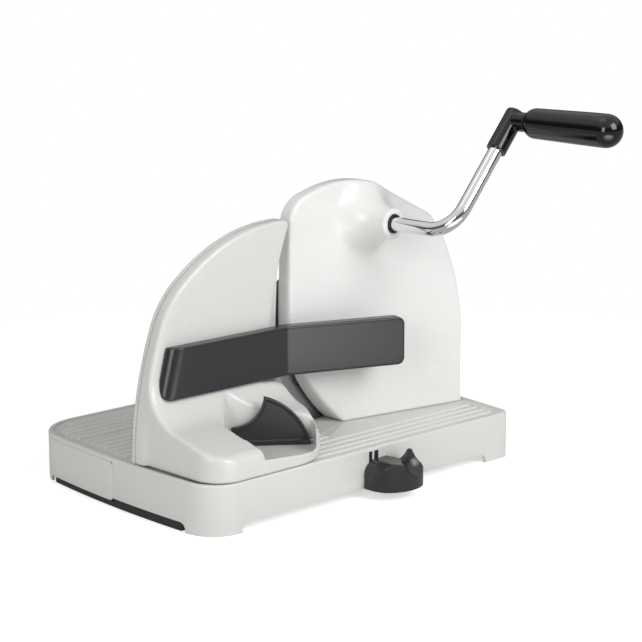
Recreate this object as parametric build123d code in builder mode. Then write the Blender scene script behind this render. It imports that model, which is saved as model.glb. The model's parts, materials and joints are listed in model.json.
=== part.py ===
from build123d import *
import os
from math import atan2, cos, degrees, hypot, pi, radians, sin, sqrt

# Hand cranked bread slicer. Millimetres. The operator stands at -Y, +X is to the operator's right,
# +Z is up and the table is z = 0. The origin is the middle of the footprint, crank included.

# ---------------------------------------------------------------- driving dimensions
# Base
base_length = 336.5  # between the two front corners
base_depth = 243.0
base_height = 40.0
base_wall = 2.5
base_edge_round = 1.5
front_y = -61.0
left_x = -173.5
left_bow = 1.2  # how far the left end swells past the front corner
left_rear_taper = 13.5  # how far the back left corner is drawn in
right_bow = 12.3
front_left_round = 28.0
front_right_round = 9.0
back_left_round = 45.0
back_right_round = 30.0
foot_height = 7.5  # gap under the walls between the corner feet
foot_length = 30.0
arch_round = 6.0
# Ribbed top
rim_width = 4.0
tray_floor_z = 38.4
tray_thickness = 2.4
rib_height = 0.9
rib_width = 3.0
rib_pitch = 9.7
rib_end_gap = 9.0
# Fits
slide_gap = 0.3  # sliding pieces and pieces that pass each other
running_gap = 0.05  # radial, shaft in bush
seat_gap = 0.02  # parts fixed to each other
# Blade and gears
blade_x, blade_y, blade_z = 74.0, 44.0, 118.0
blade_r = 95.0
blade_thickness = 1.2
blade_bevel = 5.0
scallop_count = 48
scallop_depth = 1.6
blade_shaft_r = 4.0
crank_x, crank_z = 74.0, 206.0
gear_module = 1.25
gear_width = 7.5
gear_backlash = 0.3
crank_teeth, idler_teeth, blade_teeth = 34, 45, 18
idler_axle_r = 3.0
gear_back_y = 34.5  # rear faces of all three gears
# Gear housing
housing_back_y = 40.5
housing_wall = 2.5
housing_left_front_y = 27.0
housing_right_front_y = -6.0
plate_thickness = 4.0
boss_front_y = -8.4
boss_front_r = 13.0
boss_waist_r, boss_waist_y = 20.0, 13.0
boss_root_r, boss_root_y = 44.0, 29.5
screw_r = 1.5
screw_head_r = 3.0
screw_head_height = 1.8
# Crank
tube_r = 6.0
tube_wall = 1.2
arm_y = -71.0
bend_r = 24.0
crank_reach_x, crank_reach_z = 73.0, 84.5  # from the crank axis to the grip axis
bush_r = 7.7
socket_r = 8.5
socket_length = 38.5
socket_over = 8.5  # socket past the grip axis
grip_pin_r = 3.0
grip_start_y = -88.5
grip_end_y = -182.0
grip_inner_r, grip_outer_r = 12.5, 13.6
grip_cap_length = 24.5
# Stop plate
stop_front_y = 21.0
stop_back_y = 32.5
stop_face_thickness = 3.0
stop_wall = 2.5
foot_gap = 0.4  # foot over the rim of the base
foot_lip_z = 52.0
foot_shelf_z = 61.0
foot_left_x = -169.0
foot_right_x = -32.0
foot_wall = 4.0
thicker_travel, thinner_travel = 7.1, 7.6
blade_edge_gap = 2.5  # from the stop face to the blade's edge, seen from the front
# Guard bar
bar_bottom_z, bar_top_z = 91.0, 131.5
bar_left_x, bar_crease_x = -160.0, -30.7
bar_front_y = 10.0
bar_flare = 21.0  # degrees
bar_flare_length = 105.0
bar_wall = 3.0
bar_tip_depth = 12.0
bar_round = 6.0
bar_lean = 11.0  # the left end leans in by this at the top
bar_lean_round = 9.0
# Release paddle
paddle_turn = 37.0  # degrees, plan angle of the paddle's face from the X axis
paddle_x, paddle_y = -76.6, -10.8  # middle of the quarter disc, on the paddle's front face
paddle_height = 39.5
paddle_left, paddle_right = 25.0, 38.5  # from the peak to the two ends of the base
paddle_left_height = 15.0
paddle_thickness = 5.0
paddle_pin_r = 1.0
paddle_hub_r = 2.4
paddle_press_gap = 3.2
spring_room = 4.0  # along the pin, left of the paddle
spring_r, spring_length = 2.2, 3.0
pocket_left_x = -119.0
pocket_left_back_y = -13.0
pocket_floor_z = 44.0
pocket_lip = 3.5
pocket_plate = 1.2
# Thickness setting
knob_x, knob_z = 8.3, 20.0
knob_half, knob_depth = 22.0, 30.0
knob_bottom_z, knob_lip_z, knob_top_z = 7.5, 21.6, 30.5
knob_peak_x, knob_peak_z = 28.3 - 6.5, 37.6
scoop_r, fin_thickness = 17.0, 2.2
cam_slope = 0.6125  # plate travel for each millimetre of knob travel
cam_plate_z, cam_plate_thickness = 24.0, 3.5
follower_r = 2.0
follower_y = 12.0
rod_r = 3.0
rod_z = 22.0
rod_xs = (-130.0, -75.0)
cam_rod_r = 2.0
cam_rod_y = -44.0
# Drawer
drawer_y0 = 58.0
drawer_back_margin = 10.0  # from the drawer to the back of the base
drawer_z0, drawer_z1 = 4.8, 36.9
drawer_front_thickness = 3.0
drawer_wall = 1.8
drawer_box_front_margin, drawer_box_back_margin = 7.0, 22.0  # from the ends of the drawer's front
drawer_box_x0, drawer_box_x1 = -158.0, -30.0
drawer_box_height = 25.0

os.makedirs("parts", exist_ok=True)
back_y = front_y + base_depth
right_x = left_x + base_length
drawer_y1 = back_y - drawer_back_margin
drawer_box_y0 = drawer_y0 + drawer_box_front_margin
drawer_box_y1 = drawer_y1 - drawer_box_back_margin


def save(part, name):
    """Labels a finished piece and writes it to its own file."""
    part.label = name
    export_step(part, f"parts/{name}.step")


def along_y(x, y, z):
    """A plane facing the operator: local x runs along -X, so round sections only."""
    return Plane(origin=(x, y, z), x_dir=(1, 0, 0), z_dir=(0, -1, 0))


def facing_back(y):
    """Upright plane at y whose local x and y are the world's X and Z, extruding towards -Y."""
    return Plane(origin=(0, y, 0), x_dir=(1, 0, 0), z_dir=(0, -1, 0))


def side_plane(x):
    """Upright plane at x whose local x and y are the world's Y and Z, extruding towards +X."""
    return Plane(origin=(x, 0, 0), x_dir=(0, 1, 0), z_dir=(1, 0, 0))


def rod(x, z, y_front, y_back, radius):
    """Cylinder along Y, added to the part being built."""
    with Locations(Plane(origin=(x, y_back, z), z_dir=(0, -1, 0))):
        Cylinder(radius, y_back - y_front, align=(Align.CENTER, Align.CENTER, Align.MIN))


def bore(x, z, y_front, y_back, radius):
    """Round hole along Y, cut from the part being built."""
    with Locations(Plane(origin=(x, y_back, z), z_dir=(0, -1, 0))):
        Cylinder(
            radius,
            y_back - y_front,
            align=(Align.CENTER, Align.CENTER, Align.MIN),
            mode=Mode.SUBTRACT,
        )


def block(x0, x1, y0, y1, z0, z1, mode=Mode.ADD):
    """Rectangular block between two corners, in the part being built."""
    with Locations(((x0 + x1) / 2, (y0 + y1) / 2, (z0 + z1) / 2)):
        Box(x1 - x0, y1 - y0, z1 - z0, mode=mode)


# ---------------------------------------------------------------- base
def base_outline(inset=0.0):
    """Plan of the base: straight front and back, bowed ends and four round corners."""
    front_left = (left_x, front_y)
    front_right = (right_x, front_y)
    back_right = (right_x, back_y)
    back_left = (left_x + left_rear_taper, back_y)
    middle_y = front_y + base_depth / 2
    with BuildSketch() as outline:
        with BuildLine():
            Line(front_left, front_right)
            ThreePointArc(front_right, (right_x + right_bow, middle_y), back_right)
            Line(back_right, back_left)
            ThreePointArc(back_left, (left_x - left_bow, middle_y - 0.09 * base_depth), front_left)
        make_face()
        rounds = (
            (front_left, front_left_round),
            (front_right, front_right_round),
            (back_right, back_right_round),
            (back_left, back_left_round),
        )
        for corner, radius in rounds:
            fillet(outline.vertices().sort_by_distance((*corner, 0))[0], radius)
        if inset:
            offset(amount=-inset)
    return outline.sketch


housing_foot = (-4.0, right_x + 5.0, -12.0, 50.0)  # x0, x1, y0, y1 of the smooth patch under the housing
slider_post_xs = (-145.0, -60.0)
slider_post_y = 12.0
slider_post_r = 5.0
cover_post_spots = (
    (-140.0, front_y + 16.0), (-60.0, front_y + 16.0), (70.0, front_y + 16.0), (right_x - 23.0, front_y + 16.0),
    (left_x + 12.5, 30.0), (right_x - 8.0, 38.0),
)
housing_screw_spots = ((60.0, 27.0), (right_x - 23.0, 18.0))
mark_spots = ((-6.2, 3.5), (0.2, 4.5))  # middle x and width of the two index marks
mark_z0, mark_z1 = 28.0, 37.0
mark_depth = 1.0
knob_travel_right = thinner_travel / cam_slope
knob_travel_left = thicker_travel / cam_slope
stem_half_width, stem_half_height = 4.0, 2.0
rod_web_ys = (-20.0, 42.0)
web = 3.0
ceiling_z = tray_floor_z - tray_thickness
cover_z = 9.2
cover_thickness = 1.8
cover_back_y = 52.0

with BuildPart() as base_shell:
    with BuildSketch():
        add(base_outline())
    extrude(amount=base_height)
    fillet(base_shell.faces().sort_by(Axis.Z)[-1].edges(), base_edge_round)
    with BuildSketch():
        add(base_outline(base_wall))
    extrude(amount=ceiling_z, mode=Mode.SUBTRACT)
    with BuildSketch(Plane.XY.offset(tray_floor_z)):
        add(base_outline(rim_width))
    extrude(amount=base_height, mode=Mode.SUBTRACT)
    # ribs along X, with a smooth patch where the housing stands
    with BuildSketch(Plane.XY.offset(tray_floor_z)):
        rib_count = int(base_depth / rib_pitch)
        for k in range(rib_count):
            with Locations((0, front_y + rim_width + rib_end_gap + k * rib_pitch)):
                Rectangle(1.2 * base_length, rib_width)
        add(base_outline(rim_width + rib_end_gap), mode=Mode.INTERSECT)
        with Locations(((housing_foot[0] + housing_foot[1]) / 2, (housing_foot[2] + housing_foot[3]) / 2)):
            Rectangle(
                housing_foot[1] - housing_foot[0], housing_foot[3] - housing_foot[2], mode=Mode.SUBTRACT
            )
    extrude(amount=rib_height)
    # arches between the corner feet
    with BuildSketch(facing_back(back_y + right_bow)) as front_arch:
        with Locations(((left_x + right_x) / 2, 0)):
            Rectangle(base_length - 2 * foot_length, 2 * foot_height)
        fillet(front_arch.vertices(), arch_round)
    extrude(amount=2 * base_depth, mode=Mode.SUBTRACT)
    with BuildSketch(side_plane(left_x - right_bow)) as end_arch:
        with Locations((front_y + base_depth / 2, 0)):
            Rectangle(base_depth - 2 * foot_length, 2 * foot_height)
        fillet(end_arch.vertices(), arch_round)
    extrude(amount=2 * base_length, mode=Mode.SUBTRACT)
    # drawer opening in the left end, its sill and its two runners
    block(left_x - 5, left_x + 32, drawer_y0, drawer_y1, drawer_z0, drawer_z1, Mode.SUBTRACT)
    for runner_y in (drawer_box_y0 - web - slide_gap, drawer_box_y1 + slide_gap):
        block(drawer_box_x0, drawer_box_x1 + 10, runner_y, runner_y + web, drawer_z0 + 0.4, ceiling_z)
    block(drawer_box_x0, drawer_box_x0 + 14, drawer_box_y0 - web, drawer_box_y1 + web, 5.2, 7.0)
    block(drawer_box_x1 - 4, drawer_box_x1 + 10, drawer_box_y0 - web, drawer_box_y1 + web, 5.2, 7.0)
    # slots for the blade and for the slider's two posts
    blade_chord = sqrt(blade_r**2 - (blade_z - base_height) ** 2)
    block(
        blade_x - blade_chord - 4, blade_x + blade_chord + 4, blade_y - 2, blade_y + 2, ceiling_z - 1,
        base_height, Mode.SUBTRACT,
    )
    for post_x in slider_post_xs:
        block(
            post_x - slider_post_r - 0.5, post_x + slider_post_r + 0.5,
            slider_post_y - slider_post_r - thicker_travel - 0.5,
            slider_post_y + slider_post_r + thinner_travel + 0.5,
            ceiling_z - 1, base_height, Mode.SUBTRACT,
        )
    # webs that carry the guide rods and the cam rod
    for web_y in rod_web_ys:
        block(rod_xs[0] - 8, rod_xs[1] + 8, web_y, web_y + web, rod_z - 7, ceiling_z)
        for rod_x in rod_xs:
            bore(rod_x, rod_z, web_y - 1, web_y + web + 1, rod_r + seat_gap)
    cam_web_xs = (knob_x - 30.0, knob_x + 27.0)
    for web_x in cam_web_xs:
        block(web_x, web_x + web, cam_rod_y - 5, cam_rod_y + 5, rod_z - 6, ceiling_z)
        with Locations(Plane(origin=(web_x - 1, cam_rod_y, rod_z), z_dir=(1, 0, 0))):
            Cylinder(
                cam_rod_r + seat_gap, web + 2, align=(Align.CENTER, Align.CENTER, Align.MIN),
                mode=Mode.SUBTRACT,
            )
    # slot for the knob's stem, recesses for the index marks
    block(
        knob_x - stem_half_width - knob_travel_left - 0.5, knob_x + stem_half_width + knob_travel_right + 0.5,
        front_y - 1, front_y + base_wall + 1,
        knob_z - stem_half_height - slide_gap, knob_z + stem_half_height + slide_gap, Mode.SUBTRACT,
    )
    for mark_x, mark_width in mark_spots:
        block(
            mark_x - mark_width / 2, mark_x + mark_width / 2, front_y - 1, front_y + mark_depth,
            mark_z0, mark_z1, Mode.SUBTRACT,
        )
    # posts for the underside cover and holes for the housing's screws
    for post_x, post_y in cover_post_spots:
        with Locations((post_x, post_y, cover_z + cover_thickness)):
            Cylinder(4.0, ceiling_z - cover_z - cover_thickness, align=(Align.CENTER, Align.CENTER, Align.MIN))
            Cylinder(screw_r, 10.0, align=(Align.CENTER, Align.CENTER, Align.MIN), mode=Mode.SUBTRACT)
    for spot in housing_screw_spots:
        with Locations((*spot, ceiling_z)):
            Cylinder(
                screw_r + 0.2, 10.0, align=(Align.CENTER, Align.CENTER, Align.MIN), mode=Mode.SUBTRACT
            )
save(base_shell.part, "base_shell")

with BuildPart() as base_cover:
    with BuildSketch(Plane.XY.offset(cover_z)):
        add(base_outline(base_wall + slide_gap))
        with Locations(((left_x + right_x) / 2, cover_back_y)):
            Rectangle(
                2 * base_length, base_depth, align=(Align.CENTER, Align.MIN), mode=Mode.SUBTRACT
            )
        with Locations(*cover_post_spots):
            Circle(screw_r + 0.2, mode=Mode.SUBTRACT)
    extrude(amount=cover_thickness)
save(base_cover.part, "base_cover")

with BuildPart() as cover_screws:
    for post_x, post_y in cover_post_spots:
        with Locations((post_x, post_y, cover_z - screw_head_height)):
            Cylinder(screw_head_r, screw_head_height, align=(Align.CENTER, Align.CENTER, Align.MIN))
            Cylinder(
                screw_r - seat_gap, screw_head_height + cover_thickness + 8,
                align=(Align.CENTER, Align.CENTER, Align.MIN),
            )
save(cover_screws.part, "cover_screws")


def skid(name, at_left):
    """Rubber strip under one end wall, standing on the table between the corner feet."""
    skid_width, skid_inset = 9.0, 1.0
    end_x = left_x if at_left else right_x
    with BuildPart() as strip:
        with BuildSketch():
            add(base_outline(skid_inset))
            add(base_outline(skid_inset + skid_width), mode=Mode.SUBTRACT)
            with Locations((end_x, front_y + base_depth / 2)):
                Rectangle(
                    60.0, base_depth - 2 * foot_length - 2 * arch_round, mode=Mode.INTERSECT
                )
        extrude(amount=foot_height - slide_gap)
        if at_left:
            block(left_x - 5, left_x + 40, drawer_y0 - 1, back_y, drawer_z0 - 0.1, base_height, Mode.SUBTRACT)
    save(strip.part, name)


skid("left_skid", True)
skid("right_skid", False)

with BuildPart() as index_marks:
    for mark_x, mark_width in mark_spots:
        block(
            mark_x - mark_width / 2 + seat_gap, mark_x + mark_width / 2 - seat_gap,
            front_y - 0.2, front_y + mark_depth - seat_gap, mark_z0 + seat_gap, mark_z1 - seat_gap,
        )
save(index_marks.part, "index_marks")

with BuildPart() as guide_rods:
    for rod_x in rod_xs:
        rod(rod_x, rod_z, rod_web_ys[0] - 2, rod_web_ys[1] + web + 2, rod_r)
save(guide_rods.part, "guide_rods")

with BuildPart() as cam_rod:
    with Locations(Plane(origin=(cam_web_xs[0] - 1, cam_rod_y, rod_z), z_dir=(1, 0, 0))):
        Cylinder(
            cam_rod_r, cam_web_xs[1] - cam_web_xs[0] + web + 2, align=(Align.CENTER, Align.CENTER, Align.MIN)
        )
save(cam_rod.part, "cam_rod")

# ---------------------------------------------------------------- drawer
with BuildPart() as drawer_front:
    with BuildSketch():
        add(base_outline())
        add(base_outline(drawer_front_thickness), mode=Mode.SUBTRACT)
    extrude(amount=base_height)
    with BuildSketch(side_plane(left_x - 10)) as panel:
        with Locations(((drawer_y0 + drawer_y1) / 2, (drawer_z0 + drawer_z1) / 2)):
            RectangleRounded(
                drawer_y1 - drawer_y0 - 2 * slide_gap, drawer_z1 - drawer_z0 - 2 * slide_gap, 5.0
            )
    extrude(amount=50.0, mode=Mode.INTERSECT)
save(drawer_front.part, "drawer_front")

drawer_box_z0 = 7.0 + slide_gap
with BuildPart() as drawer_tray:
    block(
        drawer_box_x0, drawer_box_x1, drawer_box_y0, drawer_box_y1, drawer_box_z0,
        drawer_box_z0 + drawer_box_height,
    )
    block(
        drawer_box_x0 + drawer_wall, drawer_box_x1 - drawer_wall, drawer_box_y0 + drawer_wall,
        drawer_box_y1 - drawer_wall, drawer_box_z0 + drawer_wall, base_height, Mode.SUBTRACT,
    )
    for lug_y in (drawer_box_y0 + 12, drawer_box_y1 - 12):
        with BuildPart(mode=Mode.PRIVATE) as lug:
            block(left_x - 5, drawer_box_x0, lug_y - 6, lug_y + 6, drawer_box_z0 + 4, drawer_box_z0 + 20)
            with BuildSketch():
                add(base_outline(drawer_front_thickness + seat_gap))
            extrude(amount=base_height, mode=Mode.INTERSECT)
        add(lug.part)
save(drawer_tray.part, "drawer_tray")


# ---------------------------------------------------------------- gear housing
housing_foot_z = tray_floor_z + seat_gap
housing_tip_x = 40.0
housing_right_x = right_x + 1.0


def housing_outline(inset=0.0):
    """Front view of the housing: follows the blade at the lower left, sloping crown, upright right."""
    tip = (housing_tip_x, housing_foot_z)
    left_low = (-13.5, 128.0)
    left_high = (-11.5, 205.0)
    crown_left = (10.0, 233.5)
    crown_right = (86.0, 236.5)
    shoulder = (housing_right_x - 14.0, 205.0)
    right_high = (housing_right_x, 188.0)
    right_low = (housing_right_x, housing_foot_z)
    with BuildSketch() as outline:
        with BuildLine():
            ThreePointArc(tip, (8.0, 74.5), left_low)
            Line(left_low, left_high)
            ThreePointArc(left_high, (-5.2, 224.5), crown_left)
            ThreePointArc(crown_left, (50.0, 240.8), crown_right)
            Line(crown_right, shoulder)
            ThreePointArc(shoulder, (housing_right_x - 4.0, 198.0), right_high)
            Line(right_high, right_low)
            Line(right_low, tip)
        make_face()
        if inset:
            offset(amount=-inset, kind=Kind.INTERSECTION)
    return outline.sketch


def housing_body(inset=0.0):
    """Wedge that deepens from the left edge to the right wall, plus the boss round the crank."""
    left_section_x, right_section_x = -20.0, 170.0
    knee_z, lean_z, top_z, low_z = 105.0, 196.0, 250.0, 30.0
    lean_bulge_y, lean_bulge_z = 8.5, 150.0
    back = housing_back_y
    left_y, right_y = housing_left_front_y, housing_right_front_y
    with BuildPart(mode=Mode.PRIVATE) as wedge:
        with BuildSketch(side_plane(left_section_x)):
            with BuildLine():
                Line((back, low_z), (left_y, low_z))
                Line((left_y, low_z), (left_y, knee_z))
                ThreePointArc((left_y, knee_z), (left_y - 0.2, lean_bulge_z), (left_y, lean_z))
                Line((left_y, lean_z), (left_y, top_z))
                Line((left_y, top_z), (back, top_z))
                Line((back, top_z), (back, low_z))
            make_face()
        with BuildSketch(side_plane(right_section_x)):
            with BuildLine():
                Line((back, low_z), (right_y, low_z))
                Line((right_y, low_z), (right_y, knee_z))
                ThreePointArc((right_y, knee_z), (right_y + lean_bulge_y, lean_bulge_z), (left_y, lean_z))
                Line((left_y, lean_z), (left_y, top_z))
                Line((left_y, top_z), (back, top_z))
                Line((back, top_z), (back, low_z))
            make_face()
        loft(ruled=True)
    with BuildPart(mode=Mode.PRIVATE) as body:
        with Locations((0, inset, 0)):
            add(wedge.part)
        with BuildSketch(Plane(origin=(crank_x, inset, crank_z), x_dir=(1, 0, 0), z_dir=(0, 0, 1))):
            with BuildLine():
                boss_front = (boss_front_r - inset, boss_front_y)
                boss_waist = (boss_waist_r - inset, boss_waist_y)
                boss_root = (boss_root_r - inset, boss_root_y)
                Line((0, boss_front_y), boss_front)
                ThreePointArc(boss_front, boss_waist, boss_root)
                Line(boss_root, (boss_root_r - inset, back))
                Line((boss_root_r - inset, back), (0, back))
                Line((0, back), (0, boss_front_y))
            make_face()
        revolve(axis=Axis((crank_x, 0, crank_z), (0, 1, 0)))
        with BuildSketch(facing_back(back)):
            add(housing_outline(inset))
        extrude(amount=2 * base_depth, mode=Mode.INTERSECT)
    return body.part


# positions of the screws from the bearing plate and where each one's boss starts
plate_screw_spots = (
    (0.0, 200.0, housing_left_front_y + 1.0), (housing_right_x - 24.0, 185.0, 24.0),
    (housing_right_x - 14.0, 60.0, -1.0), (45.0, 62.0, 17.0),
)
plate_front_y = housing_back_y - plate_thickness
gear_front_y = gear_back_y - gear_width
idler_to_crank = gear_module * (crank_teeth + idler_teeth) / 2
idler_to_blade = gear_module * (idler_teeth + blade_teeth) / 2
axle_drop = crank_z - blade_z
idler_rise = (idler_to_blade**2 - idler_to_crank**2 + axle_drop**2) / (2 * axle_drop)
idler_x = blade_x + sqrt(idler_to_blade**2 - idler_rise**2)
idler_z = blade_z + idler_rise
bush_front_length = 14.0

with BuildPart() as housing_shell:
    add(housing_body())
    add(housing_body(housing_wall), mode=Mode.SUBTRACT)
    # sleeve for the front crank bush
    rod(crank_x, crank_z, boss_front_y, boss_front_y + bush_front_length + 2, bush_r + 2.3)
    bore(crank_x, crank_z, boss_front_y - 1, boss_front_y + bush_front_length + 3, bush_r + seat_gap)
    # blind bearings for the front ends of the blade shaft and the idler axle
    rod(blade_x, blade_z, 13.0, 24.0, blade_shaft_r + 4)
    bore(blade_x, blade_z, 18.0, 25.0, blade_shaft_r + running_gap)
    rod(idler_x, idler_z, 18.5, 25.0, idler_axle_r + 4)
    bore(idler_x, idler_z, 20.0, 26.0, idler_axle_r + seat_gap)
    for spot_x, spot_z, start_y in plate_screw_spots:
        rod(spot_x, spot_z, start_y, plate_front_y, 4.5)
        bore(spot_x, spot_z, housing_back_y - 9.0, plate_front_y + 1, screw_r)
    for spot_x, spot_y in housing_screw_spots:
        with Locations((spot_x, spot_y, housing_foot_z)):
            Cylinder(4.5, 14.0, align=(Align.CENTER, Align.CENTER, Align.MIN))
            Cylinder(screw_r, 11.0, align=(Align.CENTER, Align.CENTER, Align.MIN), mode=Mode.SUBTRACT)
save(housing_shell.part, "housing_shell")

with BuildPart() as bearing_plate:
    with BuildSketch(facing_back(housing_back_y)):
        add(housing_outline(housing_wall + 0.2))
    extrude(amount=plate_thickness)
    bore(blade_x, blade_z, plate_front_y - 1, housing_back_y + 1, blade_shaft_r + 3 + seat_gap)
    bore(crank_x, crank_z, plate_front_y - 1, housing_back_y + 1, tube_r + 1.5 + seat_gap)
    bore(idler_x, idler_z, plate_front_y - 1, housing_back_y + 1, idler_axle_r + seat_gap)
    for spot_x, spot_z, start_y in plate_screw_spots:
        bore(spot_x, spot_z, plate_front_y - 1, housing_back_y + 1, screw_r + 0.2)
        bore(
            spot_x, spot_z, housing_back_y - screw_head_height - 0.1, housing_back_y + 1, screw_head_r + 0.2
        )
save(bearing_plate.part, "bearing_plate")

with BuildPart() as plate_screws:
    for spot_x, spot_z, start_y in plate_screw_spots:
        rod(spot_x, spot_z, housing_back_y - screw_head_height, housing_back_y, screw_head_r)
        rod(spot_x, spot_z, housing_back_y - 8.8, housing_back_y - 1, screw_r - seat_gap)
save(plate_screws.part, "plate_screws")

with BuildPart() as housing_screws:
    for spot_x, spot_y in housing_screw_spots:
        with Locations((spot_x, spot_y, ceiling_z - screw_head_height)):
            Cylinder(screw_head_r, screw_head_height, align=(Align.CENTER, Align.CENTER, Align.MIN))
            Cylinder(
                screw_r - seat_gap, screw_head_height + tray_thickness + 9,
                align=(Align.CENTER, Align.CENTER, Align.MIN),
            )
save(housing_screws.part, "housing_screws")

with BuildPart() as front_bush:
    rod(crank_x, crank_z, boss_front_y - 0.6, boss_front_y + bush_front_length, bush_r)
    bore(crank_x, crank_z, boss_front_y - 2, boss_front_y + bush_front_length + 1, tube_r + running_gap)
save(front_bush.part, "front_bush")

with BuildPart() as rear_bush:
    rod(crank_x, crank_z, plate_front_y, housing_back_y, tube_r + 1.5)
    rod(crank_x, crank_z, plate_front_y - 1.5, plate_front_y, tube_r + 3.5)
    bore(crank_x, crank_z, plate_front_y - 3, housing_back_y + 1, tube_r + running_gap)
save(rear_bush.part, "rear_bush")

with BuildPart() as blade_bush:
    rod(blade_x, blade_z, plate_front_y, housing_back_y, blade_shaft_r + 3)
    rod(blade_x, blade_z, plate_front_y - 1.5, plate_front_y, blade_shaft_r + 5)
    bore(blade_x, blade_z, plate_front_y - 3, housing_back_y + 1, blade_shaft_r + running_gap)
save(blade_bush.part, "blade_bush")

with BuildPart() as idler_axle:
    rod(idler_x, idler_z, 20.3, housing_back_y, idler_axle_r)
save(idler_axle.part, "idler_axle")


# ---------------------------------------------------------------- gears
def gear_rim(teeth, phase):
    """Spur gear face with straight-flanked teeth, one of them at the angle phase in degrees."""
    pitch_r = gear_module * teeth / 2
    tip_r = pitch_r + gear_module
    root_r = pitch_r - 1.25 * gear_module
    step = 360.0 / teeth
    half_root = degrees((pi * gear_module / 2 + 0.9 * gear_module - gear_backlash) / 2 / root_r)
    half_tip = degrees((pi * gear_module / 2 - 0.73 * gear_module - gear_backlash) / 2 / tip_r)
    corners = []
    for k in range(teeth):
        middle = phase + k * step
        for radius, angle in (
            (root_r, middle - half_root), (tip_r, middle - half_tip), (tip_r, middle + half_tip),
            (root_r, middle + half_root),
        ):
            corners.append((radius * cos(radians(angle)), radius * sin(radians(angle))))
    with BuildSketch() as face:
        with BuildLine():
            Polyline(*corners, close=True)
        make_face()
    return face.sketch


def gear(name, x, z, teeth, phase, bore_r, hub_r, hub_front_y):
    """Gear with a hub towards the operator, on an axis along Y. Phase is measured from +X towards +Z."""
    with BuildPart() as wheel:
        with BuildSketch(Plane(origin=(x, gear_back_y, z), x_dir=(1, 0, 0), z_dir=(0, -1, 0))):
            add(gear_rim(teeth, phase))
        extrude(amount=gear_width)
        rod(x, z, hub_front_y, gear_back_y, hub_r)
        bore(x, z, hub_front_y - 1, gear_back_y + 1, bore_r)
    return wheel


def meshed_phase(phase, teeth, angle, other_teeth):
    """Phase of the other gear, whose centre lies at angle from this one, so a tooth meets a gap."""
    turn = ((angle - phase) * teeth / 360.0) % 1.0
    return angle + 180.0 - (0.5 - turn) * 360.0 / other_teeth


crank_phase = -90.0
crank_to_idler = degrees(atan2(idler_z - crank_z, idler_x - crank_x))
idler_phase = meshed_phase(crank_phase, crank_teeth, crank_to_idler, idler_teeth)
idler_to_blade_angle = degrees(atan2(blade_z - idler_z, blade_x - idler_x))
blade_phase = meshed_phase(idler_phase, idler_teeth, idler_to_blade_angle, blade_teeth)
pin_y = gear_front_y - 4.0

crank_gear = gear(
    "crank_gear", crank_x, crank_z, crank_teeth, crank_phase, tube_r + seat_gap, tube_r + 4, gear_front_y - 8
)
with crank_gear:
    with Locations(Plane(origin=(crank_x, pin_y, crank_z - 15), z_dir=(0, 0, 1))):
        Cylinder(1.5 + seat_gap, 30, align=(Align.CENTER, Align.CENTER, Align.MIN), mode=Mode.SUBTRACT)
save(crank_gear.part, "crank_gear")

idler_gear = gear(
    "idler_gear", idler_x, idler_z, idler_teeth, idler_phase, idler_axle_r + running_gap, 6.5, gear_front_y - 1.2
)
with idler_gear:
    for hole_angle in range(0, 360, 60):
        hole_r = 17.0
        bore(
            idler_x + hole_r * cos(radians(hole_angle)), idler_z + hole_r * sin(radians(hole_angle)),
            gear_front_y - 1, gear_back_y + 1, 4.5,
        )
save(idler_gear.part, "idler_gear")

blade_gear = gear(
    "blade_gear", blade_x, blade_z, blade_teeth, blade_phase, blade_shaft_r + seat_gap, 7.0, gear_front_y - 2.5
)
save(blade_gear.part, "blade_gear")

with BuildPart() as gear_pin:
    with Locations(Plane(origin=(crank_x, pin_y, crank_z - tube_r - 3.5), z_dir=(0, 0, 1))):
        Cylinder(1.5, 2 * tube_r + 7, align=(Align.CENTER, Align.CENTER, Align.MIN))
save(gear_pin.part, "gear_pin")

# ---------------------------------------------------------------- blade
hub_y0 = housing_back_y + slide_gap
blade_front_y = blade_y - blade_thickness / 2
blade_back_y = blade_y + blade_thickness / 2
nut_height = 3.4

with BuildPart() as blade:
    with BuildSketch(Plane(origin=(blade_x, blade_y, blade_z), x_dir=(1, 0, 0), z_dir=(0, 0, 1))):
        with BuildLine():
            Polyline(
                (blade_shaft_r + seat_gap, -blade_thickness / 2), (blade_r - blade_bevel, -blade_thickness / 2),
                (blade_r, -0.15), (blade_r, 0.15), (blade_r - blade_bevel, blade_thickness / 2),
                (blade_shaft_r + seat_gap, blade_thickness / 2), close=True,
            )
        make_face()
    revolve(axis=Axis((blade_x, blade_y, blade_z), (0, 1, 0)))
    scallop_r = 5.5
    with BuildSketch(Plane(origin=(blade_x, blade_back_y + 1, blade_z), z_dir=(0, -1, 0))):
        with PolarLocations(blade_r + scallop_r - scallop_depth, scallop_count):
            Circle(scallop_r)
    extrude(amount=blade_thickness + 2, mode=Mode.SUBTRACT)
save(blade.part, "blade")

with BuildPart() as blade_shaft:
    rod(blade_x, blade_z, 18.3, blade_back_y + nut_height - 0.4, blade_shaft_r)
save(blade_shaft.part, "blade_shaft")

with BuildPart() as blade_hub:
    rod(blade_x, blade_z, hub_y0, blade_front_y, 20.0)
    bore(blade_x, blade_z, hub_y0 - 1, blade_front_y + 1, blade_shaft_r + seat_gap)
save(blade_hub.part, "blade_hub")

with BuildPart() as blade_nut:
    rod(blade_x, blade_z, blade_back_y, blade_back_y + nut_height, 17.0)
    fillet(blade_nut.edges().filter_by(GeomType.CIRCLE).sort_by(Axis.Y)[-1], 2.0)
    bore(blade_x, blade_z, blade_back_y - 1, blade_back_y + nut_height - 0.4, blade_shaft_r + seat_gap)
    with Locations((blade_x, blade_back_y + nut_height, blade_z)):
        Box(22.0, 1.6, 3.0, mode=Mode.SUBTRACT)
save(blade_nut.part, "blade_nut")

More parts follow.
